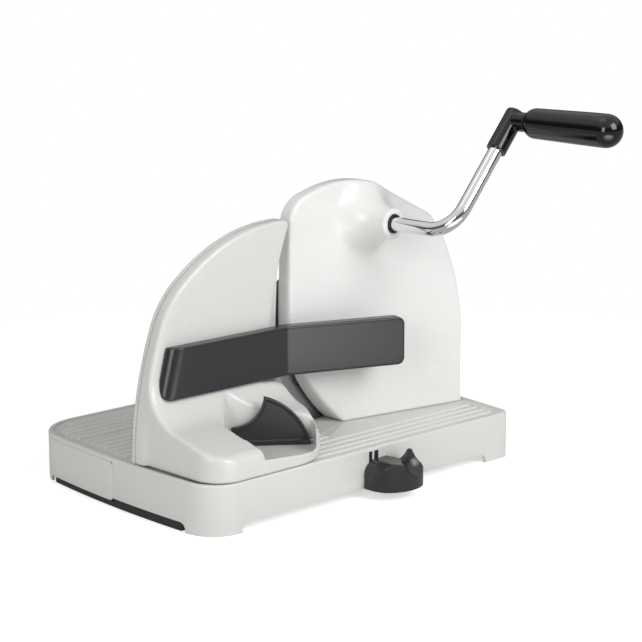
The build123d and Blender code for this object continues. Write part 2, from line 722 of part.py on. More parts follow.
# ---------------------------------------------------------------- crank
crank_radius = hypot(crank_reach_x, crank_reach_z)
arm_dir = Vector(crank_reach_x / crank_radius, 0, crank_reach_z / crank_radius)
elbow = Vector(crank_x, arm_y, crank_z)
tube_rear_y = housing_back_y - 0.5
grip_x = crank_x + crank_reach_x
grip_z = crank_z + crank_reach_z
socket_start = crank_radius + socket_over - socket_length

with BuildPart() as crank_tube:
    with BuildLine() as route:
        FilletPolyline(
            (crank_x, tube_rear_y, crank_z), elbow, elbow + arm_dir * (crank_radius - 4), radius=bend_r
        )
    with BuildSketch(along_y(crank_x, tube_rear_y, crank_z)):
        Circle(tube_r)
        Circle(tube_r - tube_wall, mode=Mode.SUBTRACT)
    sweep(path=route.line)
    with Locations(Plane(origin=(crank_x, pin_y, crank_z - 15), z_dir=(0, 0, 1))):
        Cylinder(1.5 + seat_gap, 30, align=(Align.CENTER, Align.CENTER, Align.MIN), mode=Mode.SUBTRACT)
save(crank_tube.part, "crank_tube")

cap_y = grip_end_y + grip_cap_length
washer_thickness = 2.0
washer_y = cap_y - slide_gap - washer_thickness
pin_front_y = washer_y - 1.5
with BuildPart() as grip_socket:
    with Locations(Plane(origin=elbow + arm_dir * socket_start, z_dir=arm_dir)):
        Cylinder(socket_r, socket_length, align=(Align.CENTER, Align.CENTER, Align.MIN))
    fillet(grip_socket.edges().filter_by(GeomType.CIRCLE).sort_by(Axis.Z)[-1], 1.5)
    rod(grip_x, grip_z, grip_start_y + slide_gap, arm_y, socket_r - 0.5)
    with Locations(Plane(origin=elbow + arm_dir * (socket_start - 1), z_dir=arm_dir)):
        Cylinder(
            tube_r + seat_gap, crank_radius - 3 - socket_start, align=(Align.CENTER, Align.CENTER, Align.MIN),
            mode=Mode.SUBTRACT,
        )
    bore(grip_x, grip_z, grip_start_y - 1, arm_y, grip_pin_r + seat_gap)
save(grip_socket.part, "grip_socket")

with BuildPart() as grip_pin:
    rod(grip_x, grip_z, pin_front_y, arm_y - tube_r - 0.3, grip_pin_r)
save(grip_pin.part, "grip_pin")

with BuildPart() as grip_washer:
    rod(grip_x, grip_z, washer_y, washer_y + washer_thickness, 6.0)
    bore(grip_x, grip_z, pin_front_y - 1, pin_front_y + 4, grip_pin_r + seat_gap)
save(grip_washer.part, "grip_washer")

with BuildPart() as grip:
    with BuildSketch(Plane(origin=(grip_x, 0, grip_z), x_dir=(1, 0, 0), z_dir=(0, 0, 1))):
        with BuildLine():
            neck = (7.5, grip_start_y)
            shoulder_point = (grip_inner_r, grip_start_y - 9.5)
            front = (grip_outer_r, cap_y)
            Line((grip_pin_r + running_gap, grip_start_y), neck)
            ThreePointArc(neck, (11.0, grip_start_y - 3.5), shoulder_point)
            Line(shoulder_point, front)
            Line(front, (grip_pin_r + running_gap, cap_y))
            Line((grip_pin_r + running_gap, cap_y), (grip_pin_r + running_gap, grip_start_y))
        make_face()
    revolve(axis=Axis((grip_x, 0, grip_z), (0, 1, 0)))
save(grip.part, "grip")

with BuildPart() as grip_cap:
    dome_start_y = grip_end_y + grip_outer_r
    with BuildSketch(Plane(origin=(grip_x, 0, grip_z), x_dir=(1, 0, 0), z_dir=(0, 0, 1))):
        with BuildLine():
            side = (grip_outer_r, cap_y)
            dome_side = (grip_outer_r, dome_start_y)
            nose = (0, grip_end_y)
            half = grip_outer_r * cos(radians(45))
            Line((0, cap_y), side)
            Line(side, dome_side)
            ThreePointArc(dome_side, (half, dome_start_y - half), nose)
            Line(nose, (0, cap_y))
        make_face()
    revolve(axis=Axis((grip_x, 0, grip_z), (0, 1, 0)))
    bore(grip_x, grip_z, pin_front_y - 2.0, cap_y + 1, 6.0 + slide_gap)
save(grip_cap.part, "grip_cap")

# ---------------------------------------------------------------- stop plate
foot_bottom_z = base_height + foot_gap
plate_top_z = 216.0
along = Vector(cos(radians(paddle_turn)), -sin(radians(paddle_turn)), 0)  # along the paddle's face
inward = Vector(sin(radians(paddle_turn)), cos(radians(paddle_turn)), 0)  # from its face to its back
paddle_middle = Vector(paddle_x, paddle_y, 0)
paddle_plane = Plane(origin=paddle_middle, x_dir=along, z_dir=inward * -1)
pocket_back = paddle_thickness + paddle_press_gap
shoulder_margin = 6.0
bar_screw_xs = (-140.0, -60.0)
bar_screw_z = 119.0
pocket_lip_z = 47.5
tray_top_z = pocket_floor_z + pocket_plate
paddle_foot_z = tray_top_z + slide_gap
hinge_z = paddle_foot_z + paddle_hub_r
hinge = paddle_middle + inward * (paddle_thickness - paddle_hub_r)
hinge_axis_plane = Plane(origin=(hinge.X, hinge.Y, hinge_z), z_dir=along)
pin_reach = 3.5  # pin into the foot at each end


def stop_outline(inset=0.0):
    """Front view of the stop plate: a tall rounded back edge on the left, straight-ish towards the blade."""
    low_left = (foot_left_x - 3.0, foot_bottom_z)
    left_knee = (-153.0, 144.0)
    crown_start = (-125.5, 181.0)
    top_right = (-15.0, plate_top_z)
    waist = (-37.5, 128.0)
    low_right = (foot_right_x, 85.0)
    with BuildSketch() as outline:
        with BuildLine():
            ThreePointArc(low_left, (-167.3, 93.0), left_knee)
            ThreePointArc(left_knee, (-142.0, 164.7), crown_start)
            ThreePointArc(crown_start, (-73.0, 209.3), top_right)
            ThreePointArc(top_right, (-30.0, 173.0), waist)
            Line(waist, low_right)
            Line(low_right, (foot_right_x, foot_bottom_z))
            Line((foot_right_x, foot_bottom_z), low_left)
        make_face()
        fillet(outline.vertices().sort_by_distance((*top_right, 0))[0], 4.0)
        if inset:
            offset(amount=-inset)
    return outline.sketch


def foot_plan(inset=0.0):
    """Plan of the foot: square at the left, a long round at the right end."""
    foot_front_y = front_y + 0.5
    with BuildSketch() as plan:
        with BuildLine():
            Line((foot_left_x, stop_back_y), (foot_left_x, foot_front_y))
            Line((foot_left_x, foot_front_y), (-80.0, foot_front_y))
            ThreePointArc((-80.0, foot_front_y), (-45.0, -43.0), (foot_right_x, -12.0))
            Line((foot_right_x, -12.0), (foot_right_x, stop_back_y))
            Line((foot_right_x, stop_back_y), (foot_left_x, stop_back_y))
        make_face()
        fillet(plan.vertices().sort_by_distance((foot_left_x, foot_front_y, 0))[0], 24.0)
        if inset:
            offset(amount=-inset)
    return plan.sketch


def pocket_space(inset=0.0, depth=120.0):
    """Hollow in the right end of the foot that holds the tray and the release paddle."""
    back_line = paddle_middle + inward * (pocket_back - inset)
    far = back_line + along * 60.0
    near = back_line - along * (paddle_left + spring_room - inset)
    with BuildPart(mode=Mode.PRIVATE) as space:
        with BuildSketch(Plane.XY.offset(pocket_floor_z)):
            with BuildLine():
                Polyline(
                    (pocket_left_x + inset, front_y), (pocket_left_x + inset, pocket_left_back_y - inset),
                    (near.X, near.Y), (far.X, far.Y), (far.X, front_y), close=True,
                )
            make_face()
            add(foot_plan(pocket_lip + inset), mode=Mode.INTERSECT)
        extrude(amount=depth)
    return space.part


with BuildPart() as stop_plate:
    # side view: upright lip, rounded shelf, hollow sweep up into the plate
    with BuildSketch(side_plane(-180.0)):
        with BuildLine():
            shelf_start = (front_y + 9.5, foot_shelf_z)
            sweep_start = (-14.0, 71.0)
            sweep_end = (stop_front_y, 108.0)
            Line((stop_back_y, foot_bottom_z), (front_y, foot_bottom_z))
            Line((front_y, foot_bottom_z), (front_y, foot_lip_z))
            ThreePointArc((front_y, foot_lip_z), (front_y + 3.0, 58.3), shelf_start)
            Line(shelf_start, sweep_start)
            ThreePointArc(sweep_start, (9.5, 84.0), sweep_end)
            Line(sweep_end, (stop_front_y, plate_top_z + 5))
            Line((stop_front_y, plate_top_z + 5), (stop_back_y, plate_top_z + 5))
            Line((stop_back_y, plate_top_z + 5), (stop_back_y, foot_bottom_z))
        make_face()
    extrude(amount=200.0)
    with BuildSketch(facing_back(back_y)):
        add(stop_outline())
    extrude(amount=2 * base_depth, mode=Mode.INTERSECT)
    with BuildPart(mode=Mode.PRIVATE) as plan_body:
        with BuildSketch(Plane.XY.offset(foot_bottom_z)):
            add(foot_plan())
        extrude(amount=plate_top_z)
        block(-180.0, 0.0, stop_front_y, stop_back_y, foot_bottom_z, plate_top_z + 5)
    add(plan_body.part, mode=Mode.INTERSECT)
    # the right end of the foot falls away round the paddle
    with BuildPart(mode=Mode.PRIVATE) as fall_away:
        with BuildSketch(paddle_plane.offset(-60.0)):
            with Locations((50.0, pocket_floor_z + 60.0)):
                Rectangle(100.0, 120.0)
            with Locations((0, pocket_floor_z)):
                Circle(paddle_height + shoulder_margin, mode=Mode.SUBTRACT)
        extrude(amount=120.0)
        block(-180.0, 60.0, stop_front_y, back_y, 0.0, 300.0, Mode.SUBTRACT)
    add(fall_away.part, mode=Mode.SUBTRACT)
    # pocket in front of the paddle, with a low lip round its front
    add(pocket_space(), mode=Mode.SUBTRACT)
    with BuildPart(mode=Mode.PRIVATE) as above_lip:
        with BuildSketch(facing_back(stop_front_y)):
            with BuildLine():
                Polyline(
                    (pocket_left_x, foot_lip_z), (-57.0, pocket_lip_z), (0.0, pocket_lip_z),
                    (0.0, plate_top_z), (pocket_left_x, plate_top_z), close=True,
                )
            make_face()
        extrude(amount=base_depth)
        with BuildSketch():
            with BuildLine():
                pin_side = paddle_right + 1.0
                cut_back = paddle_middle + inward * pocket_back
                cut_front = paddle_middle - inward * 100
                cut_a = cut_back + along * pin_side
                cut_b = cut_front + along * pin_side
                cut_c = cut_front - along * 100
                cut_d = cut_back - along * (paddle_left + spring_room)
                Polyline(
                    (cut_a.X, cut_a.Y), (cut_b.X, cut_b.Y), (cut_c.X, cut_c.Y), (pocket_left_x, -100.0),
                    (pocket_left_x, pocket_left_back_y), (cut_d.X, cut_d.Y), close=True,
                )
            make_face()
        extrude(amount=plate_top_z, mode=Mode.INTERSECT)
    add(above_lip.part, mode=Mode.SUBTRACT)
    with Locations(hinge_axis_plane.offset(-paddle_left - spring_room - pin_reach - 0.5)):
        Cylinder(
            paddle_pin_r + seat_gap, paddle_left + paddle_right + spring_room + 2 * pin_reach + 2,
            align=(Align.CENTER, Align.CENTER, Align.MIN), mode=Mode.SUBTRACT,
        )
    # hollow behind the front skin, closed by the stop face
    with BuildSketch(facing_back(stop_back_y)):
        add(stop_outline(stop_wall + 1.0))
        with Locations((-90.0, 0.0)):
            Rectangle(300.0, 170.0, mode=Mode.SUBTRACT)
    extrude(amount=stop_back_y - stop_front_y - stop_wall, mode=Mode.SUBTRACT)
    # hollow in the left of the foot
    with BuildPart(mode=Mode.PRIVATE) as foot_hollow:
        block(
            foot_left_x, pocket_left_x - foot_wall, front_y, slider_post_y - 12, foot_bottom_z,
            foot_shelf_z - foot_wall,
        )
        with BuildSketch(Plane.XY.offset(foot_bottom_z)):
            add(foot_plan(foot_wall))
        extrude(amount=base_height, mode=Mode.INTERSECT)
    add(foot_hollow.part, mode=Mode.SUBTRACT)
    # holes for the guard bar's screws, pilot holes for the slider's
    for screw_x in bar_screw_xs:
        bore(screw_x, bar_screw_z, stop_front_y - 1, stop_front_y + stop_wall + 1, screw_r + 0.2)
    for post_x in slider_post_xs:
        with Locations((post_x, slider_post_y, foot_bottom_z)):
            Cylinder(screw_r, 12.0, align=(Align.CENTER, Align.CENTER, Align.MIN), mode=Mode.SUBTRACT)
save(stop_plate.part, "stop_plate")

with BuildPart() as stop_face:
    with BuildSketch(facing_back(stop_back_y + stop_face_thickness)):
        add(stop_outline(0.3))
        with BuildLine():
            edge_r = blade_r + blade_edge_gap
            arc_low_z = base_height + 4.0
            arc_low = (blade_x - sqrt(edge_r**2 - (blade_z - arc_low_z) ** 2), arc_low_z)
            arc_mid = (blade_x - edge_r * cos(radians(25)), blade_z - edge_r * sin(radians(25)))
            arc_top = (blade_x - edge_r, blade_z)
            Line((foot_right_x - 20, foot_bottom_z + 0.3), (arc_low[0] - 1, foot_bottom_z + 0.3))
            Line((arc_low[0] - 1, foot_bottom_z + 0.3), arc_low)
            ThreePointArc(arc_low, arc_mid, arc_top)
            Line(arc_top, (-20.0, 190.0))
            Line((-20.0, 190.0), (foot_right_x - 20, foot_bottom_z + 0.3))
        make_face()
    extrude(amount=stop_face_thickness - seat_gap)
    for post_x in slider_post_xs:
        block(
            post_x - 6.5, post_x + 6.5, stop_back_y - 1, stop_back_y + 5, base_height - 1, base_height - 0.5,
            Mode.SUBTRACT,
        )
save(stop_face.part, "stop_face")

# ---------------------------------------------------------------- guard bar
flare = Vector(cos(radians(bar_flare)), -sin(radians(bar_flare)), 0)
flare_back = Vector(sin(radians(bar_flare)), cos(radians(bar_flare)), 0)
bar_middle_z = (bar_bottom_z + bar_top_z) / 2


def bar_plan(z, inset, back_extra=0.0):
    """Plan of the guard bar at a height: round left end, straight run, then the flare to the operator."""
    left_x_here = bar_left_x + inset + bar_lean * (z - bar_bottom_z) / (bar_top_z - bar_bottom_z)
    crease = Vector(bar_crease_x, bar_front_y, 0)
    tip = crease + flare * (bar_flare_length - inset)
    left = (left_x_here, stop_front_y + back_extra)
    nose_r = stop_front_y - bar_front_y - inset
    nose = (left_x_here + nose_r, bar_front_y + inset)
    front_tip = tip + flare_back * inset
    back_tip = tip + flare_back * (bar_tip_depth + back_extra)
    back_crease = Vector(bar_crease_x + 6.0, stop_front_y + back_extra, 0)
    front_crease = crease + Vector(-inset * sin(radians(bar_flare / 2)), inset * cos(radians(bar_flare / 2)), 0)
    with BuildSketch(Plane.XY.offset(z)) as plan:
        with BuildLine():
            if back_extra:
                Line((left[0], left[1]), (left[0], stop_front_y))
            ThreePointArc(
                (left[0], stop_front_y),
                (nose[0] - nose_r * cos(radians(45)), stop_front_y - nose_r * sin(radians(45))), nose,
            )
            Line(nose, (front_crease.X, front_crease.Y))
            Line((front_crease.X, front_crease.Y), (front_tip.X, front_tip.Y))
            Line((front_tip.X, front_tip.Y), (back_tip.X, back_tip.Y))
            Line((back_tip.X, back_tip.Y), (back_crease.X, back_crease.Y))
            Line((back_crease.X, back_crease.Y), (left[0], left[1]))
        make_face()
    return plan.sketch


with BuildPart() as guard_bar:
    bar_height = bar_top_z - bar_bottom_z
    add(bar_plan(bar_bottom_z, 0.0))
    add(bar_plan(bar_top_z, 0.0))
    loft(ruled=True)
    with BuildSketch(facing_back(back_y)):
        with BuildLine():
            Polyline(
                (bar_left_x, bar_bottom_z), (bar_left_x + bar_lean, bar_top_z),
                (bar_left_x + base_length, bar_top_z), (bar_left_x + base_length, bar_bottom_z), close=True,
            )
        end_face = make_face()
        ends = end_face.vertices().sort_by(Axis.X)
        fillet(ends[0], bar_round)
        fillet(ends[1], bar_lean_round)
    extrude(amount=2 * base_depth, mode=Mode.INTERSECT)
    tip_plane = Plane(
        origin=Vector(bar_crease_x, bar_front_y, bar_middle_z) + flare * bar_flare_length, x_dir=flare,
        z_dir=flare_back * -1,
    )
    with BuildSketch(tip_plane.offset(-base_depth / 2)):
        with Locations((-base_length / 2, 0)):
            RectangleRounded(base_length, bar_height, bar_round)
    extrude(amount=base_depth, mode=Mode.INTERSECT)
    add(bar_plan(bar_bottom_z + bar_wall, bar_wall, 10.0))
    add(bar_plan(bar_top_z - bar_wall, bar_wall, 10.0))
    loft(ruled=True, mode=Mode.SUBTRACT)
    for screw_x in bar_screw_xs:
        rod(screw_x, bar_screw_z, bar_front_y + 1, stop_front_y, 4.0)
        bore(screw_x, bar_screw_z, bar_front_y + 3, stop_front_y + 1, screw_r)
    add(stop_plate.part, mode=Mode.SUBTRACT)
save(guard_bar.part, "guard_bar")

with BuildPart() as guard_screws:
    for screw_x in bar_screw_xs:
        rod(
            screw_x, bar_screw_z, stop_front_y + stop_wall, stop_front_y + stop_wall + screw_head_height,
            screw_head_r,
        )
        rod(screw_x, bar_screw_z, bar_front_y + 3.3, stop_front_y + stop_wall + 1, screw_r - seat_gap)
save(guard_screws.part, "guard_screws")

# ---------------------------------------------------------------- release paddle and its pocket
with BuildPart() as pocket_tray:
    add(pocket_space(slide_gap, pocket_plate))
save(pocket_tray.part, "pocket_tray")

paddle_rim = 2.0
paddle_recess = 1.2


def paddle_outline(inset=0.0):
    """Fin shape: low at the left, hollow up to the peak, then one long arc down to the right."""
    with BuildSketch() as outline:
        with BuildLine():
            low_left = (-paddle_left, paddle_foot_z)
            top_left = (-paddle_left, paddle_foot_z + paddle_left_height)
            peak = (1.0, paddle_foot_z + paddle_height)
            low_right = (paddle_right, paddle_foot_z)
            hollow = (-5.5, paddle_foot_z + 0.6 * paddle_height)
            Line(low_left, top_left)
            ThreePointArc(top_left, hollow, peak)
            ThreePointArc(peak, (0.62 * paddle_right, paddle_foot_z + 0.68 * paddle_height), low_right)
            Line(low_right, low_left)
        make_face()
        if inset:
            offset(amount=-inset, kind=Kind.INTERSECTION)
    return outline.sketch


with BuildPart() as release_paddle:
    with BuildSketch(paddle_plane):
        add(paddle_outline())
    extrude(amount=-paddle_thickness)
    with BuildSketch(paddle_plane.offset(-paddle_recess)):
        add(paddle_outline(paddle_rim))
    extrude(amount=2 * paddle_recess, mode=Mode.SUBTRACT)
    hub_ends = (2.0 - paddle_left, paddle_right - 8.0)
    with Locations(hinge_axis_plane.offset(hub_ends[0])):
        Cylinder(paddle_hub_r, hub_ends[1] - hub_ends[0], align=(Align.CENTER, Align.CENTER, Align.MIN))
    with Locations(hinge_axis_plane.offset(-paddle_left - 2)):
        Cylinder(
            paddle_pin_r + running_gap, paddle_left + paddle_right + 4,
            align=(Align.CENTER, Align.CENTER, Align.MIN), mode=Mode.SUBTRACT,
        )
save(release_paddle.part, "release_paddle")

with BuildPart() as paddle_pin:
    with Locations(hinge_axis_plane.offset(-paddle_left - spring_room - pin_reach)):
        Cylinder(
            paddle_pin_r, paddle_left + paddle_right + spring_room + 2 * pin_reach + 1,
            align=(Align.CENTER, Align.CENTER, Align.MIN),
        )
save(paddle_pin.part, "paddle_pin")

with BuildPart() as paddle_spring:
    spring_side_gap = (spring_room - spring_length) / 2
    with Locations(hinge_axis_plane.offset(-paddle_left - spring_side_gap - spring_length)):
        Cylinder(spring_r, spring_length, align=(Align.CENTER, Align.CENTER, Align.MIN))
        Cylinder(
            paddle_pin_r + running_gap, spring_length, align=(Align.CENTER, Align.CENTER, Align.MIN),
            mode=Mode.SUBTRACT,
        )
save(paddle_spring.part, "paddle_spring")

# ---------------------------------------------------------------- thickness setting under the base
slider_x0, slider_x1 = -150.0, -55.0
slider_y0, slider_y1 = slider_post_y - 12.0, slider_post_y + 12.0
slider_z0, slider_z1 = 17.0, 33.0
arm_z0 = cam_plate_z + cam_plate_thickness + 1.0
arm_half = 5.0
groove_half_x = max(knob_travel_left, knob_travel_right) + 0.5
cam_half_width = groove_half_x + 6.0
tongue_half_width = 11.0

with BuildPart() as plate_slider:
    block(slider_x0, slider_x1, slider_y0, slider_y1, slider_z0, slider_z1)
    block(slider_x0 + 26, slider_x1 - 26, slider_y0 - 1, slider_y1 + 1, slider_z0 - 1, arm_z0, Mode.SUBTRACT)
    block(slider_x1 - 1, knob_x + arm_half + 2, follower_y - arm_half, follower_y + arm_half, arm_z0, slider_z1)
    for rod_x in rod_xs:
        bore(rod_x, rod_z, slider_y0 - 1, slider_y1 + 1, rod_r + running_gap)
    for post_x in slider_post_xs:
        with Locations((post_x, slider_post_y, slider_z1 - 1)):
            Cylinder(
                slider_post_r, foot_bottom_z - slider_z1 + 1, align=(Align.CENTER, Align.CENTER, Align.MIN)
            )
        with Locations((post_x, slider_post_y, slider_z0 - 1)):
            Cylinder(
                screw_r + 0.2, 40.0, align=(Align.CENTER, Align.CENTER, Align.MIN), mode=Mode.SUBTRACT
            )
    with Locations((knob_x, follower_y, arm_z0 - 1)):
        Cylinder(
            follower_r + seat_gap, 10.0, align=(Align.CENTER, Align.CENTER, Align.MIN), mode=Mode.SUBTRACT
        )
save(plate_slider.part, "plate_slider")

with BuildPart() as slider_screws:
    for post_x in slider_post_xs:
        with Locations((post_x, slider_post_y, slider_z0 - screw_head_height)):
            Cylinder(screw_head_r, screw_head_height, align=(Align.CENTER, Align.CENTER, Align.MIN))
            Cylinder(
                screw_r - seat_gap, foot_bottom_z - slider_z0 + screw_head_height + 10.0,
                align=(Align.CENTER, Align.CENTER, Align.MIN),
            )
save(slider_screws.part, "slider_screws")

with BuildPart() as follower_pin:
    with Locations((knob_x, follower_y, cam_plate_z)):
        Cylinder(follower_r, slider_z1 - cam_plate_z, align=(Align.CENTER, Align.CENTER, Align.MIN))
save(follower_pin.part, "follower_pin")

tab_y0 = front_y + base_wall + 1.5
tab_y1 = tab_y0 + 4.0
with BuildPart() as cam_plate:
    block(
        knob_x - cam_half_width, knob_x + cam_half_width, -32.0, follower_y + 14.0, cam_plate_z,
        cam_plate_z + cam_plate_thickness,
    )
    block(
        knob_x - tongue_half_width, knob_x + tongue_half_width, tab_y0, -31.0, cam_plate_z,
        cam_plate_z + cam_plate_thickness,
    )
    block(
        knob_x - tongue_half_width, knob_x + tongue_half_width, cam_rod_y - 4, cam_rod_y + 4, rod_z - 4,
        cam_plate_z + 1,
    )
    block(
        knob_x - stem_half_width, knob_x + stem_half_width, tab_y0, tab_y1, knob_z - stem_half_height - 3,
        cam_plate_z + 1,
    )
    with Locations(Plane(origin=(knob_x - 20, cam_rod_y, rod_z), z_dir=(1, 0, 0))):
        Cylinder(
            cam_rod_r + running_gap, 40.0, align=(Align.CENTER, Align.CENTER, Align.MIN), mode=Mode.SUBTRACT
        )
    with BuildSketch(Plane.XY.offset(cam_plate_z - 1)):
        groove_angle = degrees(atan2(-cam_slope, 1.0))
        with Locations((knob_x, follower_y)):
            SlotCenterToCenter(
                2 * hypot(groove_half_x, groove_half_x * cam_slope), 2 * (follower_r + slide_gap),
                rotation=groove_angle,
            )
    extrude(amount=cam_plate_thickness + 2, mode=Mode.SUBTRACT)
    bore(knob_x, knob_z, tab_y0 - 1, tab_y1 + 1, screw_r + 0.1)
save(cam_plate.part, "cam_plate")

knob_back_y = front_y - slide_gap
with BuildPart() as thickness_knob:
    # plan: bulged left side, then a long round front
    with BuildSketch(Plane.XY.offset(knob_bottom_z)):
        with BuildLine():
            back_left = (knob_x - knob_half, knob_back_y)
            side_middle = (knob_x - knob_half + 0.3, front_y - 0.4 * knob_depth)
            ridge_foot = (knob_x - knob_half + 3.5, front_y - 0.69 * knob_depth)
            nose_point = (knob_x + 1.0, front_y - knob_depth)
            front_right = (knob_x + knob_half - 2.0, front_y - 0.86 * knob_depth)
            back_right = (knob_x + knob_half, knob_back_y)
            ThreePointArc(back_left, side_middle, ridge_foot)
            ThreePointArc(ridge_foot, nose_point, front_right)
            Line(front_right, back_right)
            Line(back_right, back_left)
        make_face()
    extrude(amount=knob_peak_z - knob_bottom_z)
    # front view: round left shoulder, level top, then up to the peak of the fin and steeply down
    with BuildSketch(facing_back(knob_back_y + 1)):
        with BuildLine():
            low_left = (knob_x - knob_half, knob_bottom_z)
            side_top = (knob_x - knob_half, knob_top_z - 9.0)
            shoulder_end = (knob_x - 7.0, knob_top_z)
            top_end = (knob_x + 2.0, knob_top_z + 0.3)
            peak_left = (knob_peak_x - 1.5, knob_peak_z - 0.5)
            peak_right = (knob_peak_x + 1.5, knob_peak_z - 0.5)
            fin_foot = (knob_x + knob_half, knob_lip_z)
            low_right = (knob_x + knob_half, knob_bottom_z)
            Line(low_left, side_top)
            ThreePointArc(side_top, (knob_x - knob_half + 4.5, knob_top_z - 2.5), shoulder_end)
            Line(shoulder_end, top_end)
            ThreePointArc(top_end, (knob_x + 7.0, knob_top_z + 2.3), peak_left)
            ThreePointArc(peak_left, (knob_peak_x, knob_peak_z), peak_right)
            Line(peak_right, fin_foot)
            Line(fin_foot, low_right)
            Line(low_right, low_left)
        make_face()
    extrude(amount=2 * knob_depth, mode=Mode.INTERSECT)
    # thumb scoop in front of the fin, and the hollow behind it
    with Locations((knob_x + 10.0, front_y - knob_depth - 4.0, knob_peak_z - 3.0)):
        Sphere(scoop_r, mode=Mode.SUBTRACT)
    fin_back_y = front_y - knob_depth - 4.0 + scoop_r + fin_thickness
    block(
        knob_x + 3.0, knob_x + knob_half + 1, fin_back_y, knob_back_y + 1, knob_top_z - 5.0, knob_peak_z + 1,
        Mode.SUBTRACT,
    )
    block(
        knob_x - stem_half_width, knob_x + stem_half_width, knob_back_y - 1, tab_y0,
        knob_z - stem_half_height, knob_z + stem_half_height,
    )
    bore(knob_x, knob_z, knob_back_y - 8, tab_y0 + 1, screw_r)
save(thickness_knob.part, "thickness_knob")

with BuildPart() as knob_screw:
    rod(knob_x, knob_z, tab_y1, tab_y1 + screw_head_height, screw_head_r)
    rod(knob_x, knob_z, knob_back_y - 7.5, tab_y1 + 1, screw_r - seat_gap)
save(knob_screw.part, "knob_screw")
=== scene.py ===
"""Hand cranked bread slicer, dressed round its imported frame. Metres, Z up, the operator at -Y."""

import json
from math import atan2, radians

import bmesh
import bpy
from bpy.props import FloatProperty, FloatVectorProperty, IntProperty, PointerProperty
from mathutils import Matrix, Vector

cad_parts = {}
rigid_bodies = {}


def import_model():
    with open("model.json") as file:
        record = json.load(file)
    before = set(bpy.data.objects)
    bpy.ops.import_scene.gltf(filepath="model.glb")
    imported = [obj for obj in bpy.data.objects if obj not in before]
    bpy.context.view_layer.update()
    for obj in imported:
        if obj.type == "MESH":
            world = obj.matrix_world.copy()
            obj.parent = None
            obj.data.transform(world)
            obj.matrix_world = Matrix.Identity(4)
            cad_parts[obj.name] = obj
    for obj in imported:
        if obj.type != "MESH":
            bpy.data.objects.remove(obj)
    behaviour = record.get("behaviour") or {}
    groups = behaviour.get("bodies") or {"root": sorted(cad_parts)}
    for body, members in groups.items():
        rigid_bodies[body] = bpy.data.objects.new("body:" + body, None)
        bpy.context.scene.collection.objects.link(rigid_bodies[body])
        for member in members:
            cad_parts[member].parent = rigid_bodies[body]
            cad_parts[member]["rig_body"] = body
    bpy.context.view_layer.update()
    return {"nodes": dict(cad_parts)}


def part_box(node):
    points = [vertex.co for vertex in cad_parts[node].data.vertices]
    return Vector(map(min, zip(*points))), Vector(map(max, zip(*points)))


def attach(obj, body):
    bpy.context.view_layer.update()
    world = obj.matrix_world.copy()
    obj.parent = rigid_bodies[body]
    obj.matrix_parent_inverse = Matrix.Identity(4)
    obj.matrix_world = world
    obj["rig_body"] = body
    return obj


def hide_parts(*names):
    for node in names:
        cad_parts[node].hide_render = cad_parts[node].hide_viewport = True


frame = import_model()

bl_info = {
    "name": "Hand Cranked Bread Slicer",
    "version": (1, 0, 0),
    "blender": (4, 5, 0),
    "location": "View3D > Sidebar > Bread Slicer",
    "description": "Dresses the packed bread slicer with moulded shells, finishes, camera and studio",
    "category": "Object",
}

MM = 0.001

TRAY_FLOOR, RIB_TOP = 38.4, 39.3  # heights of the tray's floor and of the CAD's low ribs, mm
BOSS_PLACE = (74.0, 206.0)  # the crank's axis, mm
BOSS_HOLE_REACH, BOSS_HOLE_DEPTH = 15.0, 6.0  # the mouth of the crank's hole stays crisp, mm
POCKET_TOP = 64.0  # the plate keeps its crisp shape below this near the pocket, mm
POCKET_SIDE, POCKET_BACK = 8.0, 6.0  # how far round the pocket that goes, mm
BACK_FADE, FOOT_FADE = 4.0, 6.0  # the soft rounds fade in over these at the open back and the foot, mm
WELD = 0.002  # corners closer than this are one, mm
SHANK_GAP = 0.05  # shanks and the spring stay this far inside the CAD's own, mm
DOWNWARDS, BACKWARDS = (radians(180), 0, 0), (radians(-90), 0, 0)  # turns of a screw whose head is up


def from_hex(text):
    """sRGB hex to the linear colour that Blender's sockets hold."""
    values = [int(text[i : i + 2], 16) / 255 for i in (0, 2, 4)]
    return tuple(v / 12.92 if v <= 0.04045 else ((v + 0.055) / 1.055) ** 2.4 for v in values)


def colour(name, description, text):
    """A colour property whose default is an sRGB hex value."""
    return FloatVectorProperty(
        name=name, description=description, subtype="COLOR", default=from_hex(text), min=0, max=1
    )


def length(name, description, millimetres):
    """A length property whose default is given in millimetres."""
    return FloatProperty(
        name=name, description=description, default=millimetres * MM, min=0, unit="LENGTH", precision=5
    )


class SlicerColours(bpy.types.PropertyGroup):
    shell_white: colour("Shell white", "Glossy ABS of the gear housing", "E9EAE7")
    # the plate's white is the housing's white darkened, as painted shade on the stop plate
    plate_white_painted_shade: colour("Plate white", "Glossy ABS of the stop plate, a shade darker", "D8DAD6")
    base_white: colour("Base white", "Satin ABS of the base and its drawer", "D8DAD5")
    charcoal: colour("Charcoal", "Dark moulded plastic of guard bar, paddle and knob", "2A292D")
    # the pocket floor's grey, darker than the white plastics, is painted shade of the recess
    pocket_shade_grey: colour("Tray grey", "Floor of the paddle's pocket", "C6C7C5")
    grip_black: colour("Grip black", "Glossy phenolic of the grip and its socket", "060607")
    rubber: colour("Rubber", "Skids under the base", "2B2B2C")
    chrome: colour("Chrome", "Plating of the crank's tube", "E6E7E9")
    steel: colour("Steel", "Ground stainless of the blade and its hub", "B9BBBD")
    zinc: colour("Zinc", "Plating of screws, rods and pins", "A7A9AB")
    nylon: colour("Nylon", "Natural nylon of the gears and bushes", "E3DFCF")


